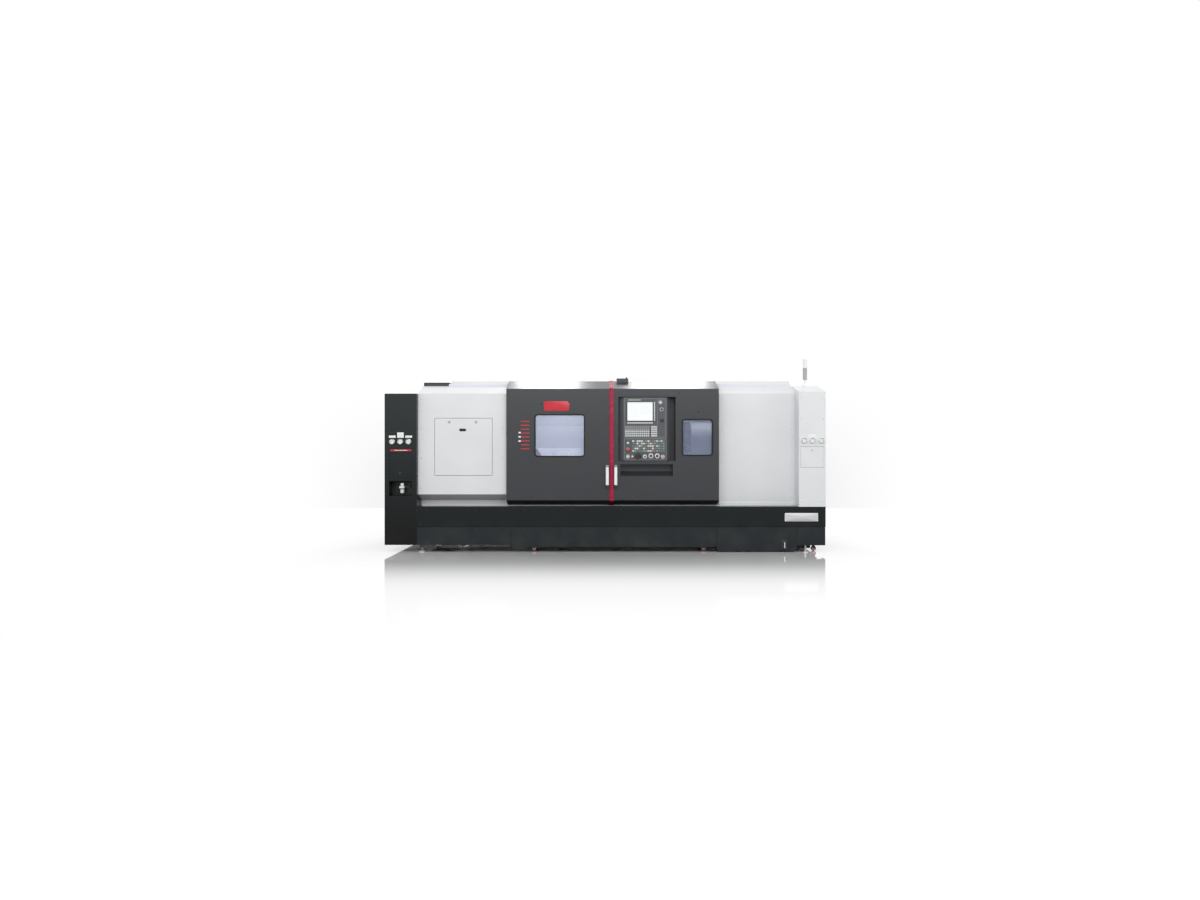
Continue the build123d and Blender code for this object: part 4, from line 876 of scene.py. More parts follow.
def stage_plane(name, points, shader):
    """A four-cornered plane of the studio."""
    mesh = bpy.data.meshes.new(name)
    mesh.from_pydata(points, [], [(0, 1, 2, 3)])
    mesh.materials.append(shader)
    made = bpy.data.objects.new(name, mesh)
    bpy.context.scene.collection.objects.link(made)
    return made


class LATHE_OT_studio(bpy.types.Operator):
    """Sets the camera, the floor, the lamps and the even light"""

    bl_idname = "lathe.studio"
    bl_label = "Studio"

    def execute(self, context):
        sizes = held("lathe_studio")
        scene = context.scene
        scene.view_settings.view_transform = "Standard"
        camera = bpy.data.cameras.new("camera")
        camera.lens = sizes.lens
        camera.sensor_width = 36
        camera.clip_end = 200
        seen = bpy.data.objects.new("camera", camera)
        scene.collection.objects.link(seen)
        seen.location = (sizes.camera_side, FRONT_Y - sizes.camera_distance, sizes.camera_height)
        seen.rotation_euler = (math.pi / 2, 0, 0)
        scene.camera = seen
        reach = 60.0
        self.floor(reach)
        self.wall(reach)
        self.world(sizes.sky)
        # A wide soft lamp in front and above, two side fills, and two strips behind that the hoods mirror
        lamp("front_lamp", (0.0, -8.5, 5.0), (0, -1, 1.0), (9, 3), 365)
        lamp("left_lamp", (-7.5, -2.5, 3.0), (0, 0, 1.0), (3, 3), 60)
        lamp("right_lamp", (7.5, -2.5, 3.0), (0, 0, 1.0), (3, 3), 90)
        lamp("hood_strip_left", (-0.98, 2.6, 4.85), (-0.7, -0.9, 1.97), (0.95, 0.9), 55)
        lamp("hood_strip_right", (1.15, 2.6, 4.85), (0.7, -0.9, 1.97), (1.15, 0.9), 70)
        # The light of the two lamps in the working space
        cool = (0.93, 0.96, 1.0)
        lamp("chamber_lamp_left", (-0.5, -0.35, 1.86), (-0.45, 0.1, 1.2), (0.9, 0.08), 4.2, cool)
        lamp("chamber_lamp_right", (1.2, -0.5, 1.86), (1.15, 0.0, 1.2), (0.9, 0.08), 0.9, cool)
        return {"FINISHED"}

    def floor(self, reach):
        """A level floor that mirrors faintly and keeps the shadow.

        Away from the machine it turns into plain white.
        """
        f = Finish("studio_floor")
        seen = f.node("LightPath", output="Is Camera Ray")
        mirrored = f.node("LightPath", output="Is Glossy Ray")
        shade = f.cloud(0.7, 2) * 0.01 + 0.99
        white = f.node("CombineColor", None, [shade, shade, shade])
        base = f.mixed(mirrored, (0.45, 0.45, 0.45), (0.10, 0.10, 0.10))
        base = f.mixed(seen, base, white)
        sockets = {"Base Color": base, "Roughness": 0.1, "Specular IOR Level": 0.2}
        matt = f.node("BsdfPrincipled", None, sockets)
        mirror = f.node("BsdfGlossy", None, {"Color": (0.97, 0.97, 0.97, 1.0), "Roughness": 0.02})
        share = f.along("Y").step(-4.6, -1.0) * 0.46
        shader = f.node("MixShader", None, [share * seen, matt, mirror])
        plain = f.node("Emission", None, {"Color": (1, 1, 1, 1), "Strength": 1.0})
        x, y = f.along("X"), f.along("Y")
        far = x.math("ABSOLUTE").step(2.8, 3.9).math("MAXIMUM", y.step(0.6, 1.8))
        far = far.math("MAXIMUM", (1 - y.step(-3.4, -1.7)) * 0.75)
        material = f.closed(f.node("MixShader", None, [far * seen, shader, plain]))
        # Half a millimetre under the feet
        z = -0.0005
        points = [(-reach, -reach, z), (reach, -reach, z), (reach, reach, z), (-reach, reach, z)]
        return stage_plane("floor", points, material)

    def wall(self, reach):
        """A white wall with a faint painted shade low behind the machine. Only the camera in front sees it.
        """
        f = Finish("studio_wall")
        # Painted shade: the wall is greyer behind the machine and near the floor, fading outwards and upwards
        cloud = (1 - f.along("X").math("ABSOLUTE").step(3.6, 6.4)) * (1 - f.along("Z").step(0.2, 2.6))
        tone = f.mixed(cloud, (1.0, 1.0, 1.0), (0.87, 0.87, 0.87))
        glow = f.node("Emission", None, {"Color": tone, "Strength": 1.0})
        clear = f.node("BsdfTransparent")
        behind = f.node("NewGeometry", output="Backfacing")
        material = f.closed(f.node("MixShader", None, [behind, glow, clear]))
        y = 5.8
        points = [(-reach, y, 0), (reach, y, 0), (reach, y, reach), (-reach, y, reach)]
        wall = stage_plane("wall", points, material)
        for ray in ("diffuse", "glossy", "transmission", "volume_scatter", "shadow"):
            setattr(wall, "visible_" + ray, False)
        return wall

    def world(self, strength):
        """Even white light. The camera, metal and glass see plain white."""
        world = bpy.data.worlds.new("studio")
        bpy.context.scene.world = world
        world.use_nodes = True
        tree = world.node_tree
        tree.nodes.clear()

        def add(kind, *inputs, **settings):
            made = tree.nodes.new("ShaderNode" + kind)
            for key, value in settings.items():
                setattr(made, key, value)
            for socket, value in zip(made.inputs, inputs):
                if isinstance(value, bpy.types.NodeSocket):
                    tree.links.new(value, socket)
                else:
                    socket.default_value = value
            return made

        path = add("LightPath").outputs
        either = add("Math", path["Is Camera Ray"], path["Is Transmission Ray"], operation="MAXIMUM")
        any_of = add("Math", either.outputs[0], path["Is Glossy Ray"], operation="MAXIMUM")
        even = add("Background", (1, 1, 1, 1), strength)
        white = add("Background", (1, 1, 1, 1))
        mix = add("MixShader", any_of.outputs[0], even.outputs[0], white.outputs[0])
        add("OutputWorld", mix.outputs[0])


class LATHE_OT_paint(bpy.types.Operator):
    """Gives each carried-over part its finish"""

    bl_idname = "lathe.paint"
    bl_label = "Paint the parts"

    def execute(self, context):
        for name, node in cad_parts.items():
            if name not in NODE_FINISH:
                raise RuntimeError(f"no finish is named for {name}")
            material = finish(NODE_FINISH[name])
            if not node.material_slots:
                node.data.materials.append(material)
            for material_slot in node.material_slots:
                material_slot.material = material
        return {"FINISHED"}


class LATHE_OT_windows(bpy.types.Operator):
    """Rubber gaskets and inner clamp frames of both door windows"""

    bl_idname = "lathe.windows"
    bl_label = "Window gaskets"

    def execute(self, context):
        wide, proud = fitting("gasket_width"), fitting("gasket_height")
        pane_lap, clamp_height = 0.022, 0.003
        first_screw, screw_line = 0.06, 0.012
        # The rubber lines the opening's wall and folds over the door's face
        section = [
            (-0.0045, -0.0245),
            (-0.0006, -0.0245),
            (-0.0006, 0.0004),
            (wide, 0.0004),
            (wide, proud * 0.6),
            (wide - 0.002, proud),
            (-0.003, proud),
            (-0.0045, proud * 0.6),
        ]
        for side in ("left", "right"):
            low, high = corners(f"{side}_window")
            width, height = (high - low)[[0, 2]] - 2 * pane_lap
            rubber = stack(width, height, 0.032, section, closed=True, steps=7)
            front, back = (level_with(f"{side}_window", y) for y in (FRONT_Y, high[1]))
            piece(f"{side}_window_gasket", f"{side}_door", "black_plastic", (rubber, "rubber"), at=front)
            # Behind the pane a steel frame clamps it with screws
            clamp = surround(width - 0.004, height - 0.004, 0.03, 0.03, clamp_height)
            across = np.linspace(-width / 2 + first_screw, width / 2 - first_screw, 5)
            up = np.linspace(-height / 2 + first_screw, height / 2 - first_screw, 4)
            beside, over = width / 2 + screw_line, height / 2 + screw_line
            spots = grid(across, (-over, over), clamp_height) + grid((-beside, beside), up, clamp_height)
            heads = button_head(0.005, 0.003, 10).repeated(spots)
            piece(
                f"{side}_window_clamp",
                f"{side}_door",
                "steel",
                (clamp, "black_oxide"),
                (heads, "bright_steel"),
                at=back,
                plane=REAR,
            )
        return {"FINISHED"}


class LATHE_OT_doors(bpy.types.Operator):
    """Bare badge plate and strips, screws of trims and grips, and the lid of the cable guide"""

    bl_idname = "lathe.doors"
    bl_label = "Door fittings"

    def execute(self, context):
        # Bare badge plate above the left window, cut slanting at its right end
        half = np.array([0.15, 0.056])
        outline = half * [(-1, -1), (0.92, -1), (1, 0.5), (0.8, 1), (-1, 1)]
        levels = [(1.0, 0.0), (1.0, 0.0018), (0.992, 0.0024)]
        rings = [np.column_stack([outline * share, np.full(len(outline), z)]) for share, z in levels]
        badge = (skin(rings), "badge_enamel")
        piece("badge_plate", "left_door", "red_trim", badge, at=(-0.565, FRONT_Y, 1.711))
        # Bare strips and tabs of the function column beside the left window
        column_z = 1.37
        strips = label(0.1, 0.011).repeated(grid((0,), np.linspace(-0.16, 0.16, 8)))
        tabs = label(0.026, 0.018, 0.0014).repeated(grid((0,), (-0.07, -0.02, 0.03)))
        piece(
            "function_strips",
            "left_door",
            "red_trim",
            (strips.placed((-0.936, FRONT_Y, column_z)), "print_red"),
            (tabs.placed((-1.0, FRONT_Y, column_z)), "print_white"),
        )
        for side, aside in (("left", -0.004), ("right", 0.004)):
            trim_x, _, _ = middle(f"{side}_trim")
            spots = grid((trim_x + aside,), np.linspace(0.66, 1.86, 7))
            heads = button_head(0.0045, 0.0022, 10).repeated(spots)
            front = (0, face_of(f"{side}_trim"), 0)
            piece(f"{side}_trim_screws", f"{side}_door", "red_trim", (heads, "crimson_enamel"), at=front)
            low, high = corners(f"{side}_handle")
            bolt = (button_head(0.0055, 0.003), "bright_steel")
            over = ((low[0] + high[0]) / 2, low[1] + 0.019, high[2])
            piece(f"{side}_grip_bolts", f"{side}_door", "bright", bolt, at=over, plane=TOP)
        # The lid of the cable guide on the right hood, with its gland
        low, high = corners("right_door")
        guide_x = low[0] + 0.106
        lid = slab(0.128, 0.1, 0.003, 0.006, 0.001).placed((guide_x, high[1] - 0.078, high[2]), TOP)
        gland = turned([(0.011, 0), (0.011, 0.006), (0.009, 0.007), (0.009, 0.016), (0.007, 0.018)], 18)
        gland = gland.placed((guide_x + 0.05, high[1] - 0.07, high[2] + 0.003), TOP)
        piece("cable_guide_lid", "right_door", "painted_dark", (lid, "charcoal_enamel"), (gland, "rubber"))
        return {"FINISHED"}


class LATHE_OT_panel(bpy.types.Operator):
    """Everything drawn on the operator panel: frames, legends, rings, dials and the handwheel's scale"""

    bl_idname = "lathe.panel"
    bl_label = "Operator panel"

    def execute(self, context):
        self.frames()
        self.legends()
        self.rings()
        self.own_marks()
        return {"FINISHED"}

    def frames(self):
        """Thin frames round the upper and lower controls and the column beside the screen, and the bezel."""
        _, high = corners("panel_housing")
        s_low, s_high = corners("panel_screen")
        left, right = PLATE_LEFT, high[0] - 0.04
        split, gap = PANEL_LOW + 0.259, 0.006
        upper, lower = (split + gap, high[2] - 0.023), (PANEL_LOW + 0.008, split - gap)
        forms = []
        for foot, head in (upper, lower):
            form = surround(right - left - 0.012, head - foot, 0.012, 0.0022, 0.0012, 0.0004)
            forms.append(form.placed(((left + right) / 2, PANEL_FACE, (foot + head) / 2)))
        foot, head = upper
        column = surround(0.088, head - foot - 0.03, 0.01, 0.0014, 0.001, 0.0003)
        forms.append(column.placed((s_high[0] + 0.1, PANEL_FACE, (foot + head) / 2)))
        piece("plate_frames", "operator_panel", "key_plastic", (joined(forms), "print_grey"))
        # Screen bezel with a raised inner lip, and the bare strip above it
        width, height = (s_high - s_low)[[0, 2]] + 0.002
        bezel = surround(width, height, 0.007, 0.008, 0.0035, 0.0012)
        strip = label(0.15, 0.010, 0.0014).placed((s_low[0] + 0.085, PANEL_FACE, s_high[2] + 0.022))
        piece(
            "screen_bezel",
            "operator_panel",
            "black_plastic",
            (bezel.placed(level_with("panel_screen", PANEL_FACE)), "black_plastic"),
            (strip, "print_green"),
        )

    def legends(self):
        """A bare mark or two on each key cap: bars, dots and arrows, with no letters."""
        cap_height = 0.0025

        def field(columns, left, foot, across, up):
            """The middles of a field of keys in five rows."""
            xs = PLATE_LEFT + left + across * np.arange(columns)
            return [(x, PANEL_LOW + foot + up * row) for x in xs for row in range(5)]

        def on(form, keys, aside, over):
            """One copy on each key, that far beside and over its middle."""
            spots = [(x + aside, z + over, 0) for x, z in keys]
            return form.repeated(spots).placed((0, PANEL_FACE - cap_height, 0))

        upper = field(12, 0.024, 0.290, 0.024, 0.026)
        numbers = field(3, 0.328, 0.290, 0.024, 0.026)
        lower = field(15, 0.108, 0.112, 0.0255, 0.029)
        bar, short_bar = mark(0.008), mark(0.004)
        dot = turned([(0.0016, 0), (0.0016, 0.0003), (0.0012, 0.0004)], 8)
        arrow = turned([(0.0042, 0), (0.0042, 0.0003), (0.0038, 0.0004)], 3).turned_about(math.pi / 2)
        dark = [
            on(bar, upper + numbers, 0, 0.004),
            on(short_bar, upper, -0.002, -0.003),
            on(dot, lower[::2], 0, -0.003),
            on(bar, lower[1::2], 0, 0.004),
        ]
        piece(
            "key_marks",
            "operator_panel",
            "black_plastic",
            (joined(dark), "print_black"),
            (on(dot, lower, 0.006, 0.0065), "green_plastic"),
            (on(arrow, lower[33:44:5], 0, 0), "print_white"),
        )

    def rings(self):
        """Coloured rings round the buttons, and marks round the knobs and the wheel."""
        ring = annulus(0.0163, 0.0215, 0.0016)
        parts = [
            (ring.placed(level_with(node, PANEL_FACE)), colour)
            for node, colour in (
                ("start_button", "green_plastic"),
                ("hold_button", "white_plastic"),
                ("alarm_button", "white_plastic"),
                ("power_on_button", "zinc"),
                ("power_off_button", "zinc"),
                ("estop_button", "zinc"),
            )
        ]
        start, turn = math.radians(-40), math.radians(260)
        for node, radius in KNOB_RADII.items():
            at = level_with(node, PANEL_FACE)
            plate = annulus(0.0056, radius + 0.012, 0.00028, 0.0001)
            marks = spokes(11, radius + 0.003, radius + 0.008, 0.0012, 0.0006, start, turn)
            parts += [(plate.placed(at), "print_white"), (marks.placed(at), "print_black")]
        parts += [
            (annulus(0.0335, 0.040, 0.0016).placed(HANDWHEEL), "black_plastic"),
            (spokes(50, 0.0345, 0.0385, 0.0006, 0.0020).placed(HANDWHEEL), "print_white"),
            (annulus(0.0118, 0.0165, 0.0016).placed(level_with("key_switch", PANEL_FACE)), "print_red"),
        ]
        piece("control_rings", "operator_panel", "white_plastic", *parts)

    def own_marks(self):
        """Marks that move with their knob, wheel or button."""

        def draw(name, node, slot, form, paint):
            piece(name, node, slot, (form, paint), at=level_with(node, face_of(node)))

        for node, radius in KNOB_RADII.items():
            line = mark(0.0014, radius * 1.1).moved(0, radius * 0.3, 0)
            draw(f"{node}_line", node, "white_plastic", line, "print_white")
        piece(
            "handwheel_scale",
            "handwheel",
            "black_plastic",
            (annulus(0.0262, 0.0305, 0.0004, 0.0001), "black_oxide"),
            (spokes(20, 0.0265, 0.030, 0.0006, 0.0007), "print_white"),
            at=HANDWHEEL - [0, 0.016, 0],
        )
        upright = slab(0.0014, 0.008, 0.0004, 0.0005, 0.0001, steps=1)
        ring = annulus(0.003, 0.0042, 0.0004, 0.0001, steps=20)
        draw("start_button_mark", "start_button", "white_plastic", upright, "print_grey")
        draw("hold_button_mark", "hold_button", "white_plastic", ring, "print_grey")
        arrow = mark(0.007).moved(0.009, 0, 0)
        arrows = joined([arrow.turned_about(0.5 + FULL_TURN * third / 3) for third in range(3)])
        draw("estop_marks", "estop_button", "red_plastic", arrows, "print_white")


class LATHE_OT_gauges(bpy.types.Operator):
    """Dials, pointers and rims of the six pressure gauges, and the bare plates round them"""

    bl_idname = "lathe.gauges"
    bl_label = "Pressure gauges"

    def execute(self, context):
        tower_x, column_x = corners("left_tower")[0][0], corners("right_column")[0][0]
        # The dials lie this far behind the rims of their cases
        dial_depth = 0.0032
        dial_y = FRONT_Y - 0.022 + dial_depth
        cases = [(tower_x + x, 1.295) for x in (0.09, 0.186, 0.282)]
        cases += [(column_x + x, 1.308) for x in (0.059, 0.156, 0.26)]
        ticks = fitting("dial_ticks")
        start, turn = math.radians(-45), math.radians(270)
        marks = spokes(ticks, 0.0185, 0.0245, 0.0012, 0.0005, start, turn)
        fine = spokes((ticks - 1) * 5 + 1, 0.0215, 0.0245, 0.0005, 0.0004, start, turn)
        pointer = slab(0.022, 0.0013, 0.0006, 0.0004, 0.0002, steps=1).moved(0.007, 0, 0.0006)
        cap = turned([(0.0028, 0), (0.0028, 0.0016), (0.0018, 0.002)], 14)
        zone = annulus(0.0248, 0.0262, 0.0004, 0.0001)
        rim = annulus(0.0272, 0.0308, 0.0014, 0.0006).moved(0, 0, dial_depth)
        for number, (x, z) in enumerate(cases, 1):
            # Each pointer stands a little lower than the one before it
            drawn = joined([marks, fine, pointer.turned_about(math.radians(225 - 38 * number)), cap])
            piece(
                f"gauge_dial_{number}",
                "frame",
                "bright",
                (drawn, "print_black"),
                (zone, "green_plastic"),
                (rim, "bright_steel"),
                at=(x, dial_y, z),
            )
        sizes = (0.08, 0.026, 1.352), (0.076, 0.062, 1.370), (0.08, 0.026, 1.352)
        over = [label(wide, tall).placed((x, FRONT_Y, z)) for (x, _), (wide, tall, z) in zip(cases, sizes)]
        under = (tower_x + 0.19, FRONT_Y, 1.192)
        piece(
            "tower_plates",
            "frame",
            "white_plastic",
            (joined(over), "print_white"),
            (label(0.245, 0.02).placed(under), "print_red"),
            (label(0.15, 0.006, 0.0018, 0.002).placed(under), "print_white"),
        )
        plate = (label(0.09, 0.03), "print_white")
        piece("column_plate", "frame", "white_plastic", plate, at=(column_x + 0.156, FRONT_Y, 1.365))
        return {"FINISHED"}


class LATHE_OT_regulator(bpy.types.Operator):
    """Ports, pipe, collar and bare plate of the air regulator, and a dark sheet of painted shade at the back
    of its recess
    """

    bl_idname = "lathe.regulator"
    bl_label = "Air regulator"

    def execute(self, context):
        x, y, _ = middle("regulator_knob")
        head_z = 0.7585
        steps = [(0.012, 0), (0.012, 0.006), (0.0085, 0.008), (0.0085, 0.02), (0.011, 0.022), (0.011, 0.034)]
        port = turned(steps, 18)
        ports = [port.placed((x - 0.030, y, head_z), LEFT), port.placed((x + 0.030, y, head_z), RIGHT)]
        bend = smooth_path([(0.062, 0, 0), (0.088, 0, 0), (0.1, 0.02, 0.012), (0.1, 0.062, 0.02)], 16)
        pipe = tube(bend, 0.006).moved(x, y, head_z)
        collar = annulus(0.0225, 0.0255, 0.008, 0.001).placed((x, y, 0.735), TOP)
        plate = slab(0.052, 0.016, 0.001, 0.002, 0.0003).placed((x, y - 0.0252, head_z))
        # A dark sheet at the back of the recess: painted shade where the recess lies in shadow
        recess_x = corners("left_tower")[0][0] + 0.1855
        shade = slab(0.264, 0.173, 0.001, 0.01, 0.0003).placed((recess_x, FRONT_Y + 0.1298, 0.745))
        piece(
            "regulator_fittings",
            "frame",
            "bright",
            (joined(ports), "black_oxide"),
            (joined([shade, pipe, collar]), "black_plastic"),
            (plate, "print_white"),
        )
        return {"FINISHED"}


class LATHE_OT_covers(bpy.types.Operator):
    """Screws and grip cup of the light covers, plates on both end faces, and the roof box's vent slots"""

    bl_idname = "lathe.covers"
    bl_label = "Cover fittings"

    def execute(self, context):
        self.fronts()
        self.end_faces()
        # Vent slots of the small box on the roof
        slots = slab(0.012, 0.022, 0.0015, 0.002, 0.0005, steps=2)
        slots = slots.repeated(grid(np.linspace(-0.12, 0.12, 13), (0,)))
        box = (corners("left_tower")[0][0] + 0.531, FRONT_Y + 0.375, 1.989)
        piece("roof_vent_slots", "frame", "painted_dark", (slots, "black_plastic"), at=box)
        return {"FINISHED"}

    def fronts(self):
        """Rows of screws on the front of both covers and the column, and the service panel's grip cup."""
        head = button_head(fitting("screw_radius"), 0.0028)

        def screws(name, spots, face):
            heads = (head.repeated(spots), "bright_steel")
            piece(f"{name}_screws", "frame", "bright", heads, at=(0, face, 0))

        left_face, right_face = FRONT_Y + 0.065, FRONT_Y + 0.183
        left = corners("left_cover")[0][0]
        screws("left_cover", grid((left + 0.04, left + 0.99), (0.74, 1.1, 1.45, 1.8)), left_face)
        x, z = middle("service_panel")[0] - 0.009, 1.432
        cup = surround(0.068, 0.020, 0.008, 0.006, 0.0022, 0.0008).placed((x, left_face, z))
        back = label(0.07, 0.022, 0.0012, 0.008).placed((x, left_face + 0.0105, z))
        piece("grip_cup", "service_panel", "black_plastic", (joined([cup, back]), "black_plastic"))
        low, high = corners("right_cover")
        spots = grid((low[0] + 0.045, high[0] - 0.045), (0.64, 1.04, 1.44, 1.82))
        spots += grid(np.linspace(low[0] + 0.25, high[0] - 0.25, 3), (0.64,))
        screws("right_cover", spots, right_face)
        low, high = corners("right_column")
        screws("column", grid((low[0] + 0.03, high[0] - 0.03), (0.6, 1.56, 1.82)), FRONT_Y)

    def end_faces(self):
        """Two screwed plates on each end face, and the ring round the bar opening."""
        left_end, right_end = corners("left_tower")[0][0], corners("right_column")[1][0]
        sheet, margin = 0.0012, 0.02
        head_height = 0.0010
        for name, plane, x, y, width, low_z, colour, slot in (
            ("left_end", LEFT, left_end, -0.20, 0.62, 0.62, "tower_enamel", "painted_dark"),
            ("right_end", RIGHT, right_end, -0.35, 0.9, 0.78, "light_enamel", "painted_white"),
        ):
            for part, z, height in (("lower", low_z, 0.38), ("upper", 1.52, 0.46)):
                plate = slab(width, height, sheet, 0.012, 0.0005)
                beside, over = width / 2 - margin, height / 2 - margin
                heads = button_head(0.0055, head_height)
                heads = heads.repeated(grid((-beside, 0, beside), (-over, over), sheet))
                piece(
                    f"{name}_{part}_cover",
                    "frame",
                    slot,
                    (plate, colour),
                    (heads, "bright_steel"),
                    at=(x, y, z),
                    plane=plane,
                )
        ring = annulus(0.0600, 0.092, sheet, 0.0005, steps=40)
        bolts = button_head(0.004, head_height, 10).repeated(ring_of(6, 0.082)).moved(0, 0, sheet)
        piece(
            "bar_opening_ring",
            "frame",
            "bright",
            (ring, "bright_steel"),
            (bolts, "black_oxide"),
            at=(left_end, *CHUCK_FACE[1:]),
            plane=LEFT,
        )


class LATHE_OT_base(bpy.types.Operator):
    """Bare nameplate, grommet and screws on the base"""

    bl_idname = "lathe.base"
    bl_label = "Base fittings"

    def execute(self, context):
        plate = slab(0.39, 0.098, 0.0015, 0.006, 0.0005)
        rivets = turned([(0.004, 0), (0.004, 0.0008), (0.002, 0.0018)], 12)
        rivets = rivets.repeated(grid((-0.186, 0.186), (-0.04, 0.04), 0.0015))
        piece(
            "bare_nameplate",
            "frame",
            "bright",
            (plate, "nameplate"),
            (rivets, "bright_steel"),
            at=(2.2965, FRONT_Y, 0.4095),
        )
        grommet = turned([(0.017, 0), (0.017, 0.002), (0.014, 0.004), (0.008, 0.003), (0.006, 0.0012)], 24)
        piece("base_grommet", "frame", "black_plastic", (grommet, "rubber"), at=(-2.166, FRONT_Y, 0.330))
        low, high = corners("base_skirt")
        xs = np.linspace(low[0] + 0.12, high[0] - 0.12, 9)
        head = button_head(fitting("screw_radius"), 0.003)
        upper = head.repeated(grid(xs, (0.5,))).placed((0, FRONT_Y, 0))
        lower = head.repeated(grid(xs, (0.262,))).placed((0, FRONT_Y + 0.004, 0))
        piece("base_screws", "frame", "steel", (joined([upper, lower]), "black_oxide"))
        return {"FINISHED"}


class LATHE_OT_inside(bpy.types.Operator):
    """Bolts of the chuck and the turret, and the lamps under the roof of the working space"""

    bl_idname = "lathe.inside"
    bl_label = "Working space"

    def execute(self, context):
        # Two bolts between each two jaws, and a bright lip round the bore
        jaw = middle("chuck_jaw_1") - CHUCK_FACE
        first = math.atan2(jaw[2], jaw[1]) + math.pi / 3
        pairs = [ring_of(3, 0.128, first + aside) for aside in (-0.24, 0.24)]
        bolts = button_head(0.009, 0.006, 14).repeated(np.concatenate(pairs))
        lip = annulus(0.0505, 0.0575, 0.003, 0.001, steps=40)
        piece(
            "chuck_bolts",
            "spindle",
            "steel",
            (bolts, "black_oxide"),
            (lip, "bright_steel"),
            at=CHUCK_FACE,
            plane=RIGHT,
        )
        # The ring of bolts lies behind the disc's face and the cap stands out of it
        heads = button_head(0.007, 0.005).repeated(ring_of(12, 0.078)).moved(0, 0, -0.012)
        stations = turned([(0.006, 0), (0.006, 0.0008), (0.005, 0.001)], 12)
        stations = stations.repeated(ring_of(12, 0.19, math.pi / 12))
        cap = turned([(0.042, 0), (0.042, 0.004), (0.036, 0.007), (0.012, 0.008)], 32).moved(0, 0, 0.008)
        piece(
            "turret_bolts",
            "turret",
            "steel",
            (heads, "black_oxide"),
            (stations, "print_red"),
            (cap, "bright_steel"),
            at=TURRET_FACE,
            plane=LEFT,
        )
        for side, x in (("left", -0.5), ("right", 1.2)):
            case = slab(0.96, 0.11, 0.045, 0.012, 0.006).placed((x, -0.35, 1.962), DOWN)
            lens = slab(0.90, 0.07, 0.006, 0.02, 0.002).placed((x, -0.35, 1.917), DOWN)
            piece(f"{side}_work_lamp", "frame", "white_plastic", (case, "zinc"), (lens, "work_lamp"))
        return {"FINISHED"}


def bow_handle(x, y, out, foot):
    """A bent bar from its plane's origin to x, y, and the two feet under its ends."""
    path = smooth_path([(0, 0, 0), (0, 0, out), (x, y, out), (x, y, 0)], 10)
    return tube(path, 0.006), turned(foot, 16).repeated([(0, 0, 0), (x, y, 0)])


class LATHE_OT_rear(bpy.types.Operator):
    """Louvres, filters, switch ring, handle and gland plate of the machine's rear"""

    bl_idname = "lathe.rear"
    bl_label = "Rear fittings"

    def execute(self, context):
        low, high = corners("cabinet_door")
        rear = corners("rear_cabinet")[1][1]
        slats = slab(0.30, 0.016, 0.007, 0.004, 0.003).repeated(grid((0,), 0.03 * np.arange(8)))
        banks = [slats.placed(((low[0] + high[0]) / 2, rear, z), REAR) for z in (0.42, 1.58)]
        piece("door_louvres", "cabinet_door", "painted_grey", (joined(banks), "grey_enamel"))
        bar, feet = bow_handle(0, 0.12, 0.03, [(0.011, 0), (0.011, 0.003), (0.008, 0.005)])
        piece(
            "cabinet_pull",
            "cabinet_door",
            "steel",
            (bar, "black_oxide"),
            (feet, "bright_steel"),
            at=(high[0] - 0.07, rear, 1.05),
            plane=REAR,
        )
        rim = surround(0.23, 0.23, 0.012, 0.018, 0.009, 0.003)
        bars = slab(0.234, 0.007, 0.006, 0.003, 0.002, steps=2)
        bars = bars.repeated(grid((0,), np.linspace(-0.1, 0.1, 11)))
        places = [(x, rear, z) for x in (0.75, 1.45) for z in (0.62, 1.55)]
        grilles, backs = (
            joined([form.placed(place, REAR) for place in places])
            for form in (joined([rim, bars]), label(0.232, 0.232, 0.0012, 0.01))
        )
        piece("cabinet_filters", "frame", "black_plastic", (grilles, "panel_plastic"), (backs, "rubber"))
        ring = (annulus(0.040, 0.054, 0.002, 0.0006, steps=40), "yellow_enamel")
        piece("switch_ring", "frame", "white_plastic", ring, at=level_with("main_switch", rear), plane=REAR)
        plate = slab(0.34, 0.12, 0.003, 0.006, 0.001)
        glands = hexagon_bolt(0.014, 0.014).repeated(grid(np.linspace(-0.12, 0.12, 5), (0,), 0.003))
        piece(
            "gland_plate",
            "frame",
            "steel",
            (plate, "zinc"),
            (glands, "black_plastic"),
            at=(1.95, rear, 0.40),
            plane=REAR,
        )
        # In the rear's plane a place to the machine's left has a positive number
        spots = grid((1.75, 1.3, -0.32, -2.15), (0.25, 1.15, 1.88))
        heads = button_head(0.006, 0.003).repeated(spots)
        piece("cabinet_screws", "frame", "bright", (heads, "bright_steel"), at=(0, rear, 0), plane=REAR)
        return {"FINISHED"}


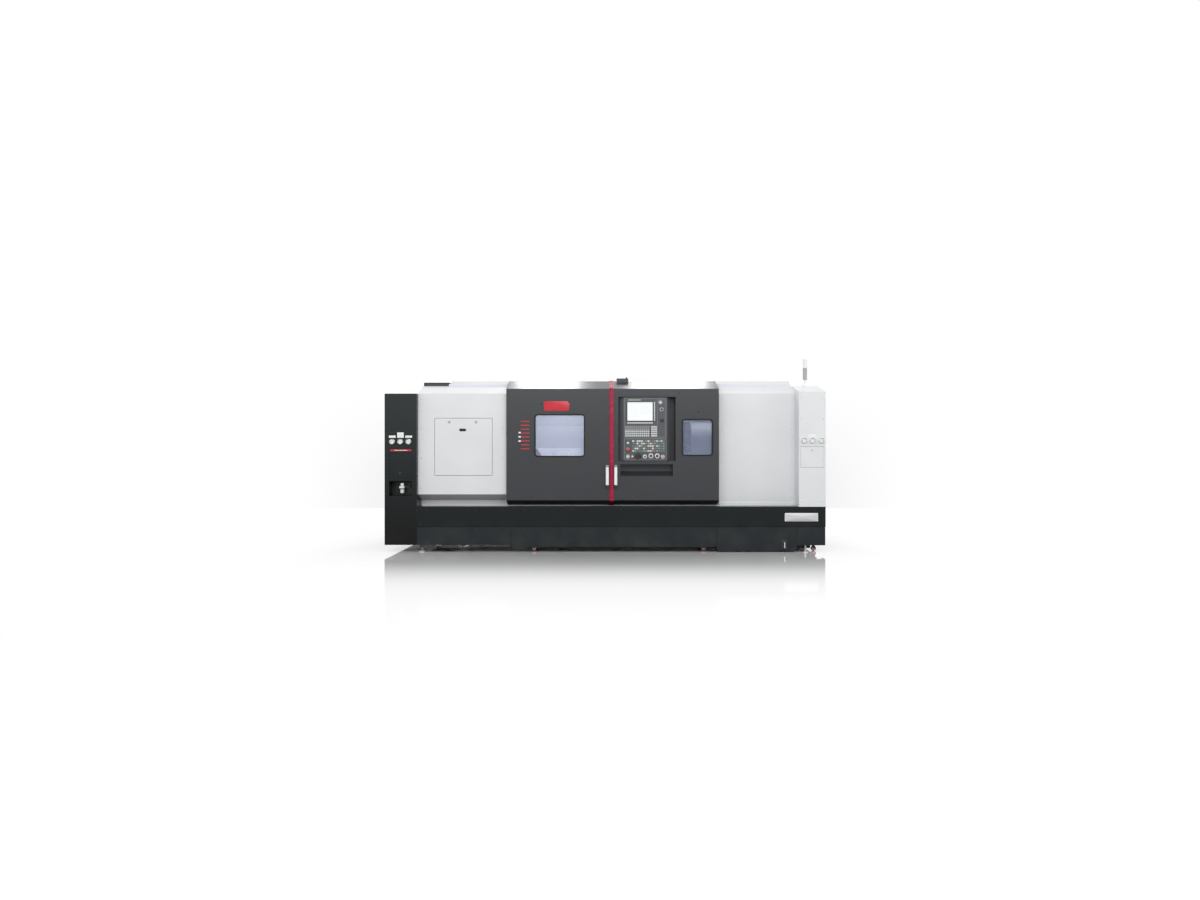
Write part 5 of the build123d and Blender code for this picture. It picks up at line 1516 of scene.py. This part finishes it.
class LATHE_OT_tank(bpy.types.Operator):
    """Pull handle, level gauge and lifting lugs low on the machine"""

    bl_idname = "lathe.tank"
    bl_label = "Tank and lugs"

    def execute(self, context):
        bar, feet = bow_handle(0.16, 0, 0.035, [(0.012, 0), (0.012, 0.002), (0.008, 0.004)])
        piece(
            "tank_pull",
            "coolant_tank",
            "steel",
            (bar, "black_oxide"),
            (feet, "bright_steel"),
            at=(2.505, -0.78, 0.215),
            plane=RIGHT,
        )
        # The level gauge stands on a flat dark plate near the right end of the base: painted shade of a
        # recess round it
        aside, out = 0.004, 0.009
        notch_shade = label(0.064, 0.120, 0.0012, 0.004)
        glass = tube([(aside, -0.036, out), (aside, 0, out), (aside, 0.036, out)], 0.006, 12)
        ends = turned([(0.008, 0), (0.008, 0.010), (0.006, 0.016)], 14)
        ends = ends.repeated(grid((aside,), (-0.04, 0.04)))
        piece(
            "level_gauge",
            "frame",
            "black_plastic",
            (notch_shade, "black_plastic"),
            (glass, "pale_enamel"),
            (ends, "black_oxide"),
            at=(2.096, FRONT_Y + 0.004, 0.0825),
        )
        bolts = hexagon_bolt(0.008, 0.006).repeated(grid((-0.06, 0.06), (0,)))
        forms = []
        for x, width in ((-2.0835, 0.187), (-1.8205, 0.199)):
            forms.append(slab(width, 0.042, 0.0345, 0.012, 0.004).placed((x, -1.029, 0.0502), TOP))
            forms.append(bolts.placed((x, -1.050, 0.067)))
        piece("lifting_lugs", "frame", "steel", (joined(forms), "black_oxide"))
        return {"FINISHED"}


OPERATORS = [
    LATHE_OT_paint,
    LATHE_OT_windows,
    LATHE_OT_doors,
    LATHE_OT_panel,
    LATHE_OT_gauges,
    LATHE_OT_regulator,
    LATHE_OT_covers,
    LATHE_OT_base,
    LATHE_OT_inside,
    LATHE_OT_rear,
    LATHE_OT_tank,
    LATHE_OT_studio,
]


class LATHE_PT_panel(bpy.types.Panel):
    """Lists the steps in the order in which they run"""

    bl_label = "Turning lathe"
    bl_idname = "LATHE_PT_panel"
    bl_space_type = "VIEW_3D"
    bl_region_type = "UI"
    bl_category = "Lathe"

    def draw(self, context):
        for operator in OPERATORS:
            self.layout.operator(operator.bl_idname)


GROUPS = {"lathe_studio": StudioSizes, "lathe_fittings": FittingSizes}


def register():
    for group in GROUPS.values():
        bpy.utils.register_class(group)
    for name, group in GROUPS.items():
        setattr(bpy.types.Scene, name, bpy.props.PointerProperty(type=group))
    for operator in OPERATORS:
        bpy.utils.register_class(operator)
    bpy.utils.register_class(LATHE_PT_panel)


def unregister():
    bpy.utils.unregister_class(LATHE_PT_panel)
    for operator in OPERATORS:
        bpy.utils.unregister_class(operator)
    for name, group in GROUPS.items():
        delattr(bpy.types.Scene, name)
        bpy.utils.unregister_class(group)


def main():
    register()
    for operator in OPERATORS:
        space, name = operator.bl_idname.split(".")
        getattr(getattr(bpy.ops, space), name)()


if __name__ == "__main__":
    main()
